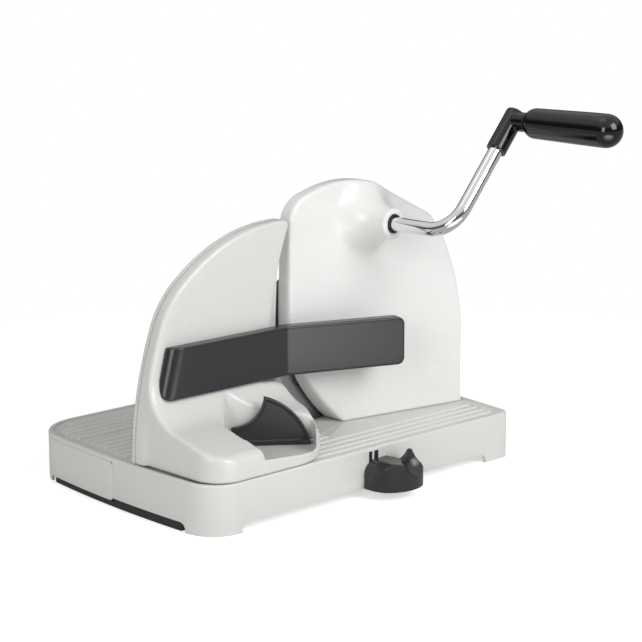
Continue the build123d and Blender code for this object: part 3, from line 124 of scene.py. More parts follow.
class SlicerSizes(bpy.types.PropertyGroup):
    shell_voxel: length("Shell voxel", "Mesh size of the housing and the stop plate", 1.05)
    bar_voxel: length("Bar voxel", "Mesh size of the guard bar", 0.85)
    small_voxel: length("Small voxel", "Mesh size of the paddle, knob and socket", 0.45)
    edge_round: length("Edge rounding", "Small rounding on the base's moulded edges", 0.35)
    shell_rounds: IntProperty(
        name="Shell smoothing", description="Passes that round the housing's and plate's edges", default=10
    )
    front_rounds: IntProperty(
        name="Front smoothing", description="Further passes on the housing's and plate's front", default=45
    )
    small_rounds: IntProperty(
        name="Small smoothing", description="Passes that round the small mouldings' edges", default=5
    )
    rib_half_width: length("Rib half width", "Half the width of the tray's ribs", 1.9)
    rib_height: length("Rib height", "How far the tray's ribs stand up", 1.5)
    head_radius: length("Head radius", "Radius of the screws' heads", 2.95)
    head_height: length("Head height", "Height of the screws' heads", 1.8)
    shank_radius: length("Shank radius", "Radius of the screws' shanks", 1.45)
    recess: length("Recess", "Width of the slots in the cross recess", 0.8)
    wire_radius: length("Wire radius", "Radius of the paddle spring's wire", 0.32)
    spring_length: length("Spring length", "Length of the paddle's wound spring", 3.0)


# ------------------------------------------------------------------ nodes and materials


def add(tree, kind, inputs=None, **attributes):
    """Adds a node: its attributes by name, its inputs by name or number as values or sockets."""
    made = tree.nodes.new(kind)
    for name, value in attributes.items():
        setattr(made, name, value)
    for name, value in (inputs or {}).items():
        if isinstance(value, bpy.types.NodeSocket):
            tree.links.new(value, made.inputs[name])
        else:
            made.inputs[name].default_value = value
    return made


def new_material(name):
    """Empty node material with its output, and the object coordinates that patterns read."""
    material = bpy.data.materials.new(name)
    material.use_nodes = True
    tree = material.node_tree
    tree.nodes.clear()
    place = add(tree, "ShaderNodeTexCoord").outputs["Object"]
    return material, tree, place


def close(material, tree, shader, tint):
    """Ends a material, and gives the viewport its colour."""
    add(tree, "ShaderNodeOutputMaterial", {"Surface": shader})
    material.diffuse_color = (*tint, 1)
    return material


def mix_colour(tree, factor, dark, light):
    """A blend of two plain colours by a pattern."""
    blend = add(tree, "ShaderNodeMix", {"Factor": factor}, data_type="RGBA")
    blend.inputs["A"].default_value = (*dark, 1)
    blend.inputs["B"].default_value = (*light, 1)
    return blend.outputs["Result"]


def shade(tint, factor):
    return tuple(min(1, channel * factor) for channel in tint)


def moulded(name, tint, roughness, grain_mm, grain_depth, cloud=0.03, ior=1.53):
    """Injection moulded plastic: a slight drift of tone, a fine tool texture and handling haze."""
    material, tree, place = new_material(name)
    drift = add(tree, "ShaderNodeTexNoise", {"Vector": place, "Scale": 1 / (55 * MM), "Detail": 1})
    grain = add(tree, "ShaderNodeTexNoise", {"Vector": place, "Scale": 1 / (grain_mm * MM), "Detail": 4})
    haze = add(tree, "ShaderNodeTexNoise", {"Vector": place, "Scale": 1 / (40 * MM), "Detail": 1})
    base = mix_colour(tree, drift.outputs["Fac"], shade(tint, 1 - cloud), shade(tint, 1 + cloud))
    rough = add(
        tree, "ShaderNodeMapRange",
        {"Value": haze.outputs["Fac"], "From Min": 0.3, "From Max": 0.7, "To Min": roughness * 0.98,
         "To Max": roughness * 1.02},
    )
    bump = add(
        tree, "ShaderNodeBump",
        {"Height": grain.outputs["Fac"], "Strength": 0.35, "Distance": grain_depth * MM},
    )
    shader = add(
        tree, "ShaderNodeBsdfPrincipled",
        {"Base Color": base, "Roughness": rough.outputs["Result"], "Normal": bump.outputs["Normal"],
         "IOR": ior},
    )
    return close(material, tree, shader.outputs["BSDF"], tint)


def ground_steel(name, tint, centre):
    """Stainless disc ground in circles: fine rings round the arbor, slightly uneven in gloss."""
    material, tree, place = new_material(name)
    moved = add(tree, "ShaderNodeVectorMath", {0: place, 1: centre}, operation="SUBTRACT")
    flat = add(tree, "ShaderNodeVectorMath", {0: moved.outputs[0], 1: (1, 0, 1)}, operation="MULTIPLY")
    radius = add(tree, "ShaderNodeVectorMath", {0: flat.outputs[0]}, operation="LENGTH").outputs["Value"]
    along = add(tree, "ShaderNodeCombineXYZ", {"X": radius})
    # real grinding marks are about 0.05 mm apart, drawn at 0.4 mm so that they show
    rings = add(
        tree, "ShaderNodeTexNoise", {"Vector": along.outputs[0], "Scale": 1 / (0.4 * MM), "Detail": 2}
    )
    stains = add(tree, "ShaderNodeTexNoise", {"Vector": place, "Scale": 1 / (30 * MM), "Detail": 4})
    base = mix_colour(tree, rings.outputs["Fac"], shade(tint, 0.82), shade(tint, 1.1))
    rough = add(
        tree, "ShaderNodeMapRange",
        {"Value": stains.outputs["Fac"], "From Min": 0.3, "From Max": 0.7, "To Min": 0.22, "To Max": 0.36},
    )
    bump = add(
        tree, "ShaderNodeBump", {"Height": rings.outputs["Fac"], "Strength": 0.25, "Distance": 0.02 * MM}
    )
    shader = add(
        tree, "ShaderNodeBsdfPrincipled",
        {"Base Color": base, "Metallic": 1.0, "Roughness": rough.outputs["Result"],
         "Normal": bump.outputs["Normal"], "Anisotropic": 0.5},
    )
    return close(material, tree, shader.outputs["BSDF"], tint)


def plated(name, tint, roughness, mark_mm):
    """Bright metal plating over drawn steel: faint streaks and a little haze from handling."""
    material, tree, place = new_material(name)
    streak = add(tree, "ShaderNodeTexNoise", {"Vector": place, "Scale": 1 / (mark_mm * MM), "Detail": 3})
    haze = add(tree, "ShaderNodeTexNoise", {"Vector": place, "Scale": 1 / (18 * MM), "Detail": 4})
    base = mix_colour(tree, streak.outputs["Fac"], shade(tint, 0.93), shade(tint, 1.0))
    rough = add(
        tree, "ShaderNodeMapRange",
        {"Value": haze.outputs["Fac"], "From Min": 0.3, "From Max": 0.7, "To Min": roughness * 0.7,
         "To Max": roughness * 1.4},
    )
    bump = add(
        tree, "ShaderNodeBump",
        {"Height": streak.outputs["Fac"], "Strength": 0.1, "Distance": 0.01 * MM},
    )
    shader = add(
        tree, "ShaderNodeBsdfPrincipled",
        {"Base Color": base, "Metallic": 1.0, "Roughness": rough.outputs["Result"],
         "Normal": bump.outputs["Normal"]},
    )
    return close(material, tree, shader.outputs["BSDF"], tint)


def finish(name):
    """The finish of that name, made the first time that a piece asks for it."""
    if name in bpy.data.materials:
        return bpy.data.materials[name]
    tints = bpy.context.scene.slicer_colours
    low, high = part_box("blade")
    makers = {
        # polished tool, so the housing is glossy with soft highlights and no tool texture
        "gloss_abs": lambda: moulded(name, tints.shell_white, 0.27, 1.6, 0, 0.001),
        # the same polish on the plate's ABS, its white a shade darker than the housing's as painted shade
        "plate_abs_painted_shade": lambda: moulded(name, tints.plate_white_painted_shade, 0.27, 1.6, 0, 0.001),
        # lightly blasted tool: the base takes light more evenly than the housing
        "satin_abs": lambda: moulded(name, tints.base_white, 0.4, 0.9, 0.01, 0.01),
        # spark-eroded tool texture, a dry charcoal with broad dull highlights
        "eroded_polyamide": lambda: moulded(name, tints.charcoal, 0.26, 0.7, 0.01, 0.06),
        # matt floor of the pocket, its grey a painted shade of the recess
        "matt_abs_painted_shade": lambda: moulded(name, tints.pocket_shade_grey, 0.55, 0.9, 0.015, 0.02),
        # phenolic turned and buffed: deep black with sharp highlights
        "buffed_phenolic": lambda: moulded(name, tints.grip_black, 0.13, 3.0, 0.003, 0.1),
        # black moulded nylon of the crank's bushes
        "black_nylon": lambda: moulded(name, tints.grip_black, 0.4, 0.8, 0.01, 0.1),
        # nitrile rubber strips, dull and slightly dusty
        "nitrile_rubber": lambda: moulded(name, tints.rubber, 0.75, 0.6, 0.02, 0.1),
        # unfilled nylon, ivory and waxy
        "natural_nylon": lambda: moulded(name, tints.nylon, 0.4, 0.9, 0.01, 0.03),
        "ground_stainless": lambda: ground_steel(name, tints.steel, (low + high) / 2),
        "bright_chrome": lambda: plated(name, tints.chrome, 0.07, 0.8),
        "zinc_plate": lambda: plated(name, tints.zinc, 0.3, 0.5),
    }
    return makers[name]()


# ------------------------------------------------------------------ meshes


def show(piece, material):
    """Puts a finished mesh object in the scene with one material."""
    piece.data.materials.clear()
    piece.data.materials.append(finish(material))
    if piece.name not in bpy.context.scene.collection.objects:
        bpy.context.scene.collection.objects.link(piece)
    return piece


def merged_copy(node, name):
    """A welded copy of a CAD node's mesh as a new object."""
    source = frame["nodes"][node]
    piece = bpy.data.objects.new(name, source.data.copy())
    piece.data.materials.clear()
    bpy.context.scene.collection.objects.link(piece)
    work = bmesh.new()
    work.from_mesh(piece.data)
    bmesh.ops.remove_doubles(work, verts=work.verts, dist=WELD * MM)
    bmesh.ops.dissolve_limit(
        work, angle_limit=radians(0.6), verts=work.verts, edges=work.edges, delimit=set()
    )
    work.to_mesh(piece.data)
    work.free()
    return piece


def bake_modifiers(piece):
    """Replaces a piece's mesh with what its modifiers make of it."""
    graph = bpy.context.evaluated_depsgraph_get()
    graph.update()
    result = bpy.data.meshes.new_from_object(piece.evaluated_get(graph))
    piece.modifiers.clear()
    piece.data = result
    return piece


def smooth_by_angle(piece, degrees_):
    """Smooth shading everywhere but across edges sharper than the angle."""
    for face in piece.data.polygons:
        face.use_smooth = True
    piece.data.set_sharp_from_angle(angle=radians(degrees_))
    return piece


def belongs(piece, node):
    """The piece stands for the node, which is hidden, and rides with its body."""
    body = frame["nodes"][node]["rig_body"]
    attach(piece, body)
    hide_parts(node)
    return piece


def relax_where(piece, rounds, weight):
    """Relaxes a fine mesh more where weight(vertex place in mm) is high, for larger rounds there."""
    group = piece.vertex_groups.new(name="soft")
    for vertex in piece.data.vertices:
        share = weight(vertex.co / MM)
        if share > 0:
            group.add([vertex.index], min(1, share), "REPLACE")
    more = piece.modifiers.new("more", "SMOOTH")
    more.factor = 0.5
    more.iterations = rounds
    more.vertex_group = group.name
    bake_modifiers(piece)
    piece.vertex_groups.clear()


def soft_moulding(node, name, voxel, rounds, material, soft_rounds=0, weight=None):
    """Remeshes a CAD body finely and relaxes it, so that its edges get a moulding's rounds."""
    piece = merged_copy(node, name)
    remesh = piece.modifiers.new("remesh", "REMESH")
    remesh.mode = "VOXEL"
    remesh.voxel_size = voxel
    remesh.adaptivity = 0
    relax = piece.modifiers.new("relax", "SMOOTH")
    relax.factor = 0.5
    relax.iterations = rounds
    bake_modifiers(piece)
    if soft_rounds:
        relax_where(piece, soft_rounds, weight)
    smooth_by_angle(piece, 180)
    show(piece, material)
    return belongs(piece, node)


def crisp_moulding(node, name, edge, material, segments=2):
    """Keeps a CAD body's shape and breaks its edges with a small round."""
    piece = merged_copy(node, name)
    bevel = piece.modifiers.new("edges", "BEVEL")
    bevel.width = edge
    bevel.segments = segments
    bevel.limit_method = "ANGLE"
    bevel.angle_limit = radians(32)
    bevel.use_clamp_overlap = True
    bevel.harden_normals = False
    bake_modifiers(piece)
    smooth_by_angle(piece, 38)
    show(piece, material)
    return belongs(piece, node)


def smooth_copy(node, name, degrees_, material):
    """Keeps a CAD body's shape, shaded smooth up to the angle, with a finish."""
    piece = smooth_by_angle(merged_copy(node, name), degrees_)
    return belongs(show(piece, material), node)


def islands(node):
    """Lowest and highest corners of each separate solid in a CAD node."""
    work = bmesh.new()
    work.from_mesh(frame["nodes"][node].data)
    bmesh.ops.remove_doubles(work, verts=work.verts, dist=WELD * MM)
    left = set(work.verts)
    found = []
    while left:
        reached = [left.pop()]
        for vertex in reached:
            for edge in vertex.link_edges:
                other = edge.other_vert(vertex)
                if other in left:
                    left.remove(other)
                    reached.append(other)
        low = Vector([min(v.co[k] for v in reached) for k in range(3)])
        high = Vector([max(v.co[k] for v in reached) for k in range(3)])
        found.append((low, high))
    work.free()
    return sorted(found, key=lambda pair: tuple(pair[0]))


def new_tree(name, numbers, vectors=()):
    """Geometry node tree with its named inputs; the geometry goes in and comes out first."""
    tree = bpy.data.node_groups.new(name, "GeometryNodeTree")
    tree.interface.new_socket("Geometry", in_out="INPUT", socket_type="NodeSocketGeometry")
    tree.interface.new_socket("Geometry", in_out="OUTPUT", socket_type="NodeSocketGeometry")
    for labels, kind in ((numbers, "NodeSocketFloat"), (vectors, "NodeSocketVector")):
        for label in labels:
            tree.interface.new_socket(label, in_out="INPUT", socket_type=kind)
    return tree, add(tree, "NodeGroupInput").outputs


def end_tree(tree, geometry, material):
    """Makes instances real, sets their material and closes the tree."""
    real = add(tree, "GeometryNodeRealizeInstances", {"Geometry": geometry}).outputs[0]
    painted = add(tree, "GeometryNodeSetMaterial", {"Geometry": real, "Material": finish(material)})
    add(tree, "NodeGroupOutput", {"Geometry": painted.outputs[0]})


def grow(name, places, tree, values, lines=()):
    """A new piece whose mesh is what the tree makes of a few points or lines, as a plain mesh."""
    mesh = bpy.data.meshes.new(name)
    mesh.from_pydata([tuple(place) for place in places], list(lines), [])
    piece = bpy.data.objects.new(name, mesh)
    bpy.context.scene.collection.objects.link(piece)
    modifier = piece.modifiers.new("grow", "NODES")
    modifier.node_group = tree
    sockets = {item.name: item for item in tree.interface.items_tree if item.in_out == "INPUT"}
    for label, value in values.items():
        modifier[sockets[label].identifier] = value
    return bake_modifiers(piece)


def screw_tree(material):
    """Pan head with a cross recess on a plain shank, one on each point, its head outwards."""
    tree, given = new_tree(
        "cross_screws", ("Head Radius", "Head Height", "Shank Radius", "Shank Length", "Recess"), ("Turn",)
    )

    def arithmetic(operation, *values):
        return add(tree, "ShaderNodeMath", dict(enumerate(values)), operation=operation).outputs[0]

    def box(width, depth, height):
        size = add(tree, "ShaderNodeCombineXYZ", {"X": width, "Y": depth, "Z": height}).outputs[0]
        return add(tree, "GeometryNodeMeshCube", {"Size": size}).outputs["Mesh"]

    def lifted(geometry, height):
        shift = add(tree, "ShaderNodeCombineXYZ", {"Z": height}).outputs[0]
        return add(tree, "GeometryNodeTransform", {"Geometry": geometry, "Translation": shift}).outputs[0]

    head = add(
        tree, "GeometryNodeMeshCylinder",
        {"Vertices": 40, "Radius": given["Head Radius"], "Depth": given["Head Height"]},
    ).outputs["Mesh"]
    head = lifted(head, arithmetic("MULTIPLY", given["Head Height"], -0.5))
    long_side = arithmetic("MULTIPLY", given["Head Radius"], 1.15)
    deep = arithmetic("MULTIPLY", given["Head Height"], 1.1)
    cutters = (box(long_side, given["Recess"], deep), box(given["Recess"], long_side, deep))
    for cutter in cutters:
        cut = add(
            tree, "GeometryNodeMeshBoolean", {"Mesh 1": head, "Mesh 2": cutter}, operation="DIFFERENCE",
            solver="EXACT",
        )
        head = cut.outputs["Mesh"]
    shank = add(
        tree, "GeometryNodeMeshCylinder",
        {"Vertices": 24, "Radius": given["Shank Radius"], "Depth": given["Shank Length"]},
    ).outputs["Mesh"]
    below_head = arithmetic("MULTIPLY", given["Head Height"], -1.0)
    shank = lifted(shank, arithmetic("MULTIPLY_ADD", given["Shank Length"], -0.5, below_head))
    join = add(tree, "GeometryNodeJoinGeometry")
    tree.links.new(head, join.inputs[0])
    tree.links.new(shank, join.inputs[0])
    placed = add(
        tree, "GeometryNodeInstanceOnPoints",
        {"Points": given["Geometry"], "Instance": join.outputs[0], "Rotation": given["Turn"]},
    )
    end_tree(tree, placed.outputs[0], material)
    return tree


def cross_screws(tree, node, name, turn):
    """Puts a detailed screw in the place of each plain one; turn takes +Z to the head's side."""
    sizes = bpy.context.scene.slicer_sizes
    along = 2 if turn == DOWNWARDS else 1
    places, spans = [], []
    for low, high in islands(node):
        place = (low + high) / 2
        place[along] = low[2] if along == 2 else high[1]
        places.append(place)
        spans.append(high[along] - low[along])
    piece = grow(
        name, places, tree,
        {"Head Radius": sizes.head_radius, "Head Height": sizes.head_height,
         "Shank Radius": sizes.shank_radius, "Shank Length": spans[0] - sizes.head_height - SHANK_GAP * MM,
         "Recess": sizes.recess, "Turn": turn},
    )
    smooth_by_angle(piece, 35)
    return belongs(show(piece, "zinc_plate"), node)


def coil_tree(material):
    """Wound wire: a helix swept with a round section, turned and moved to its pin."""
    tree, given = new_tree("wound_wire", ("Radius", "Height", "Turns", "Wire"), ("Turn", "Place"))
    line = add(
        tree, "GeometryNodeCurveSpiral",
        {"Resolution": 24, "Rotations": given["Turns"], "Start Radius": given["Radius"],
         "End Radius": given["Radius"], "Height": given["Height"]},
    ).outputs[0]
    section = add(
        tree, "GeometryNodeCurvePrimitiveCircle", {"Resolution": 12, "Radius": given["Wire"]}, mode="RADIUS"
    ).outputs[0]
    wire = add(
        tree, "GeometryNodeCurveToMesh", {"Curve": line, "Profile Curve": section, "Fill Caps": True}
    ).outputs[0]
    moved = add(
        tree, "GeometryNodeTransform",
        {"Geometry": wire, "Translation": given["Place"], "Rotation": given["Turn"]},
    )
    end_tree(tree, moved.outputs[0], material)
    return tree


def rib_tree(material):
    """Sweeps a flat oval along each line: rounded ribs half sunk in the tray."""
    tree, given = new_tree("swept_ribs", ("Half Width", "Half Height"))
    line = add(tree, "GeometryNodeMeshToCurve", {"Mesh": given["Geometry"]}).outputs[0]
    upright = add(tree, "GeometryNodeSetCurveNormal", {"Curve": line}, mode="Z_UP").outputs[0]
    ring = add(
        tree, "GeometryNodeCurvePrimitiveCircle", {"Resolution": 20, "Radius": 1.0}, mode="RADIUS"
    ).outputs[0]
    size = add(
        tree, "ShaderNodeCombineXYZ", {"X": given["Half Width"], "Y": given["Half Height"], "Z": 1.0}
    ).outputs[0]
    oval = add(tree, "GeometryNodeTransform", {"Geometry": ring, "Scale": size}).outputs[0]
    swept = add(
        tree, "GeometryNodeCurveToMesh", {"Curve": upright, "Profile Curve": oval, "Fill Caps": True}
    ).outputs[0]
    end_tree(tree, swept, material)
    return tree


def rib_lines(node, top, floor):
    """Ends of the CAD's own ribs along their middle lines, cut where slots cross, on the tray's floor."""
    work = bmesh.new()
    work.from_mesh(frame["nodes"][node].data)
    bmesh.ops.remove_doubles(work, verts=work.verts, dist=WELD * MM)
    left = {face for face in work.faces if all(abs(v.co.z - top) < 0.05 * MM for v in face.verts)}
    ends = []
    while left:
        reached = [left.pop()]
        for face in reached:
            for edge in face.edges:
                for other in edge.link_faces:
                    if other in left:
                        left.remove(other)
                        reached.append(other)
        depths = [v.co.y for face in reached for v in face.verts]
        middle = (min(depths) + max(depths)) / 2
        spans = []
        for face in reached:
            pairs = [[v.co for v in edge.verts] for edge in face.edges]
            crossed = [
                a.x + (b.x - a.x) * (middle - a.y) / (b.y - a.y)
                for a, b in pairs if (a.y - middle) * (b.y - middle) < 0
            ]
            if len(crossed) > 1:
                spans.append([min(crossed), max(crossed)])
        spans.sort()
        joined = spans[:1]
        for start, stop in spans[1:]:
            if start > joined[-1][1] + 0.1 * MM:
                joined.append([start, stop])
            else:
                joined[-1][1] = max(joined[-1][1], stop)
        ends += [(x, middle, floor) for span in joined for x in span]
    work.free()
    return ends


def refinish(material, *nodes):
    """Carried-over CAD nodes keep their shape and get a finish."""
    for node in nodes:
        source = frame["nodes"][node]
        source.data.materials.clear()
        source.data.materials.append(finish(material))


# ------------------------------------------------------------------ operators


class SLICER_OT_base(bpy.types.Operator):
    """Base shell with its ribbed top, drawer, skids and index marks"""

    bl_idname = "slicer.base"
    bl_label = "Base and drawer"

    def execute(self, context):
        sizes = context.scene.slicer_sizes
        edge = sizes.edge_round
        crisp_moulding("base_shell", "ribbed_base", edge, "satin_abs")
        ends = rib_lines("base_shell", RIB_TOP * MM, TRAY_FLOOR * MM)
        ribs = grow(
            "tray_ribs", ends, rib_tree("satin_abs"),
            {"Half Width": sizes.rib_half_width, "Half Height": sizes.rib_height},
            [(k, k + 1) for k in range(0, len(ends), 2)],
        )
        smooth_by_angle(ribs, 50)
        belongs(show(ribs, "satin_abs"), "base_shell")
        crisp_moulding("drawer_front", "drawer_face", edge, "satin_abs")
        crisp_moulding("drawer_tray", "drawer_box", edge, "satin_abs")
        crisp_moulding("left_skid", "skid_left", edge, "nitrile_rubber")
        crisp_moulding("right_skid", "skid_right", edge, "nitrile_rubber")
        refinish("satin_abs", "base_cover")
        refinish("eroded_polyamide", "index_marks")
        return {"FINISHED"}


class SLICER_OT_housing(bpy.types.Operator):
    """Gear housing shell and the plate that closes its back"""

    bl_idname = "slicer.housing"
    bl_label = "Gear housing"

    def execute(self, context):
        sizes = context.scene.slicer_sizes
        low, high = (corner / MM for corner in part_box("housing_shell"))

        def weight(place):
            """Full on the front skin, none at the foot, the open back and the crank's hole."""
            from_axis = Vector((place.x - BOSS_PLACE[0], place.z - BOSS_PLACE[1])).length
            if from_axis < BOSS_HOLE_REACH and place.y < BOSS_HOLE_DEPTH:
                return 0
            return min(1, (high.y - 3 - place.y) / BACK_FADE, (place.z - low.z - 3) / FOOT_FADE)

        soft_moulding(
            "housing_shell", "housing_shell_moulding", sizes.shell_voxel, sizes.shell_rounds, "gloss_abs",
            sizes.front_rounds, weight,
        )
        crisp_moulding("bearing_plate", "back_plate", sizes.edge_round, "gloss_abs")
        crisp_moulding("front_bush", "crank_bush", sizes.edge_round, "black_nylon")
        refinish("black_nylon", "rear_bush")
        refinish("natural_nylon", "blade_bush")
        return {"FINISHED"}


class SLICER_OT_stop_plate(bpy.types.Operator):
    """Sliding stop plate, its face, the pocket's floor and the slider under the base"""

    bl_idname = "slicer.stop_plate"
    bl_label = "Stop plate"

    def execute(self, context):
        sizes = context.scene.slicer_sizes
        low, high = (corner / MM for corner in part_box("stop_plate"))
        pocket_low, pocket_high = (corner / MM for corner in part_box("pocket_tray"))

        def weight(place):
            """Full on the plate and the shelf, none at the rims, the open back and the paddle's pocket."""
            beside = place.x > pocket_low.x - POCKET_SIDE and place.y < pocket_high.y + POCKET_BACK
            if beside and place.z < POCKET_TOP:
                return 0
            return min(1, (high.y - 2 - place.y) / BACK_FADE, (place.z - low.z - 4) / FOOT_FADE)

        # the plate and its face take the white darkened as painted shade
        soft_moulding(
            "stop_plate", "stop_plate_moulding", sizes.shell_voxel, sizes.shell_rounds, "plate_abs_painted_shade",
            sizes.front_rounds, weight,
        )
        crisp_moulding("stop_face", "stop_sheet", sizes.edge_round, "plate_abs_painted_shade")
        # the pocket's floor takes the grey that paints the recess's shade
        refinish("matt_abs_painted_shade", "pocket_tray")
        refinish("eroded_polyamide", "plate_slider", "cam_plate")
        return {"FINISHED"}


class SLICER_OT_dark_mouldings(bpy.types.Operator):
    """Guard bar, release paddle and thickness knob"""

    bl_idname = "slicer.dark_mouldings"
    bl_label = "Guard bar, paddle and knob"

    def execute(self, context):
        sizes = context.scene.slicer_sizes
        rounds = sizes.small_rounds
        soft_moulding("guard_bar", "guard_rail", sizes.bar_voxel, rounds, "eroded_polyamide")
        soft_moulding("release_paddle", "paddle_fin", sizes.small_voxel, rounds, "eroded_polyamide")
        soft_moulding("thickness_knob", "thickness_grip", sizes.small_voxel, rounds, "eroded_polyamide")
        return {"FINISHED"}


class SLICER_OT_crank(bpy.types.Operator):
    """Crank tube, socket and turning grip"""

    bl_idname = "slicer.crank"
    bl_label = "Crank"

    def execute(self, context):
        sizes = context.scene.slicer_sizes
        voxel, rounds = sizes.small_voxel, sizes.small_rounds
        smooth_copy("crank_tube", "crank_arm", 40, "bright_chrome")
        soft_moulding("grip_socket", "grip_knuckle", voxel, rounds, "buffed_phenolic")
        smooth_copy("grip", "grip_sleeve", 40, "buffed_phenolic")
        smooth_copy("grip_cap", "grip_end", 40, "buffed_phenolic")
        refinish("zinc_plate", "grip_pin", "grip_washer", "gear_pin")
        return {"FINISHED"}


class SLICER_OT_blade(bpy.types.Operator):
    """Scalloped blade with its hub and nut, and the gears behind it"""

    bl_idname = "slicer.blade"
    bl_label = "Blade and gears"

    def execute(self, context):
        smooth_copy("blade", "scalloped_blade", 20, "ground_stainless")
        smooth_copy("blade_hub", "blade_flange", 20, "ground_stainless")
        smooth_copy("blade_nut", "blade_cap", 20, "ground_stainless")
        refinish("zinc_plate", "blade_shaft", "idler_axle")
        refinish("natural_nylon", "crank_gear", "idler_gear", "blade_gear")
        return {"FINISHED"}


class SLICER_OT_fasteners(bpy.types.Operator):
    """Screws with cross recesses, the paddle's wound spring, rods and pins"""

    bl_idname = "slicer.fasteners"
    bl_label = "Fasteners"

    def execute(self, context):
        sizes = context.scene.slicer_sizes
        tree = screw_tree("zinc_plate")
        for node in ("cover_screws", "housing_screws", "slider_screws"):
            cross_screws(tree, node, node + "_cross", DOWNWARDS)
        for node in ("plate_screws", "guard_screws", "knob_screw"):
            cross_screws(tree, node, node + "_cross", BACKWARDS)
        # the spring's axis lies level, along the paddle's face
        low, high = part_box("paddle_pin")
        spring_low, spring_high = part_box("paddle_spring")
        heading = Vector((high.x - low.x, low.y - high.y, 0)).normalized()
        radius = (spring_high.z - spring_low.z) / 2
        wire = sizes.wire_radius
        place = (spring_low + spring_high) / 2 - heading * (sizes.spring_length / 2 - wire)
        piece = grow(
            "paddle_spring_wound", [(0, 0, 0)], coil_tree("zinc_plate"),
            {"Radius": radius - wire - SHANK_GAP * MM, "Height": sizes.spring_length - 2 * wire,
             "Turns": 4.0, "Wire": wire, "Turn": (0, radians(90), atan2(heading.y, heading.x)),
             "Place": tuple(place)},
        )
        smooth_by_angle(piece, 60)
        belongs(show(piece, "zinc_plate"), "paddle_spring")
        refinish("zinc_plate", "guide_rods", "cam_rod", "paddle_pin", "follower_pin")
        return {"FINISHED"}


class SLICER_OT_stage(bpy.types.Operator):
    """Floor, studio lights and the camera"""

    bl_idname = "slicer.stage"
    bl_label = "Studio"

    def execute(self, context):
        floor_material()
        make_floor()
        make_world(context.scene)
        make_lights()
        make_camera(context.scene)
        context.scene.view_settings.view_transform = "Standard"
        return {"FINISHED"}


# ------------------------------------------------------------------ studio

CAMERA_PLACE = (-1.1045, -1.1432, 0.4728)
CAMERA_YAW, CAMERA_PITCH = 43.95, 12.05  # degrees to the right of +Y, and down
CAMERA_SENSOR = 36.0
CAMERA_LENS = 2000.0 / 642.0 * CAMERA_SENSOR  # the photograph's focal length in its own pixels
FLOOR_REACH = 30.0
POOL_PLACE = (-0.14, -0.6, 0.0)  # middle of the painted glowing pool on the sheet, in front of the slicer, seen only in reflections
SHADOW_FADE = (0.42, 0.75)  # metres from the origin over which the floor turns plain white


def floor_material():
    """Matt white paper: takes the soft shadow near the slicer, fades to plain white, and has a painted
    glowing pool that only reflections show.
    """
    material, tree, place = new_material("paper_sweep")
    distance = add(tree, "ShaderNodeVectorMath", {0: place}, operation="LENGTH").outputs["Value"]
    fade = add(
        tree, "ShaderNodeMapRange",
        {"Value": distance, "From Min": SHADOW_FADE[0], "From Max": SHADOW_FADE[1]},
        interpolation_type="SMOOTHSTEP",
    ).outputs["Result"]
    fibre = add(tree, "ShaderNodeTexNoise", {"Vector": place, "Scale": 1 / (2 * MM), "Detail": 3})
    paper = mix_colour(tree, fibre.outputs["Fac"], from_hex("EEEEEE"), from_hex("F4F4F4"))
    matt = add(tree, "ShaderNodeBsdfDiffuse", {"Color": paper})
    lift = add(tree, "ShaderNodeEmission", {"Color": (1, 1, 1, 1), "Strength": 0.55})
    lit = add(tree, "ShaderNodeAddShader", {0: matt.outputs[0], 1: lift.outputs[0]})
    plain = add(tree, "ShaderNodeEmission", {"Color": (1, 1, 1, 1), "Strength": 1.0})
    seen = add(tree, "ShaderNodeMixShader", {0: fade, 1: lit.outputs[0], 2: plain.outputs[0]})
    rays = add(tree, "ShaderNodeLightPath")
    direct = add(
        tree, "ShaderNodeMath",
        {0: rays.outputs["Is Camera Ray"], 1: rays.outputs["Is Glossy Ray"]}, operation="MAXIMUM",
    )
    either = add(
        tree, "ShaderNodeMath", {0: direct.outputs[0], 1: rays.outputs["Is Transmission Ray"]},
        operation="MAXIMUM",
    )
    both = add(
        tree, "ShaderNodeMixShader", {0: either.outputs[0], 1: matt.outputs[0], 2: seen.outputs[0]}
    )
    # painted reflection: in glossy surfaces the sheet glows bright in front of the slicer, though no lamp
    # is there, and falls off round that pool
    beside = add(tree, "ShaderNodeVectorMath", {0: place, 1: POOL_PLACE}, operation="DISTANCE")
    level = add(
        tree, "ShaderNodeMapRange",
        {"Value": beside.outputs["Value"], "From Min": 0.1, "From Max": 0.4, "To Min": 4.6, "To Max": 0.5},
        interpolation_type="SMOOTHSTEP",
    )
    pool = add(tree, "ShaderNodeEmission", {"Color": (1, 1, 1, 1), "Strength": level.outputs["Result"]})
    whole = add(
        tree, "ShaderNodeMixShader",
        {0: rays.outputs["Is Glossy Ray"], 1: both.outputs[0], 2: pool.outputs[0]},
    )
    return close(material, tree, whole.outputs[0], (1, 1, 1))


def make_floor():
    mesh = bpy.data.meshes.new("floor")
    corners = [(x * FLOOR_REACH, y * FLOOR_REACH, 0) for x, y in ((-1, -1), (1, -1), (1, 1), (-1, 1))]
    mesh.from_pydata(corners, [], [(0, 1, 2, 3)])
    floor = bpy.data.objects.new("floor", mesh)
    mesh.materials.append(bpy.data.materials["paper_sweep"])
    bpy.context.scene.collection.objects.link(floor)


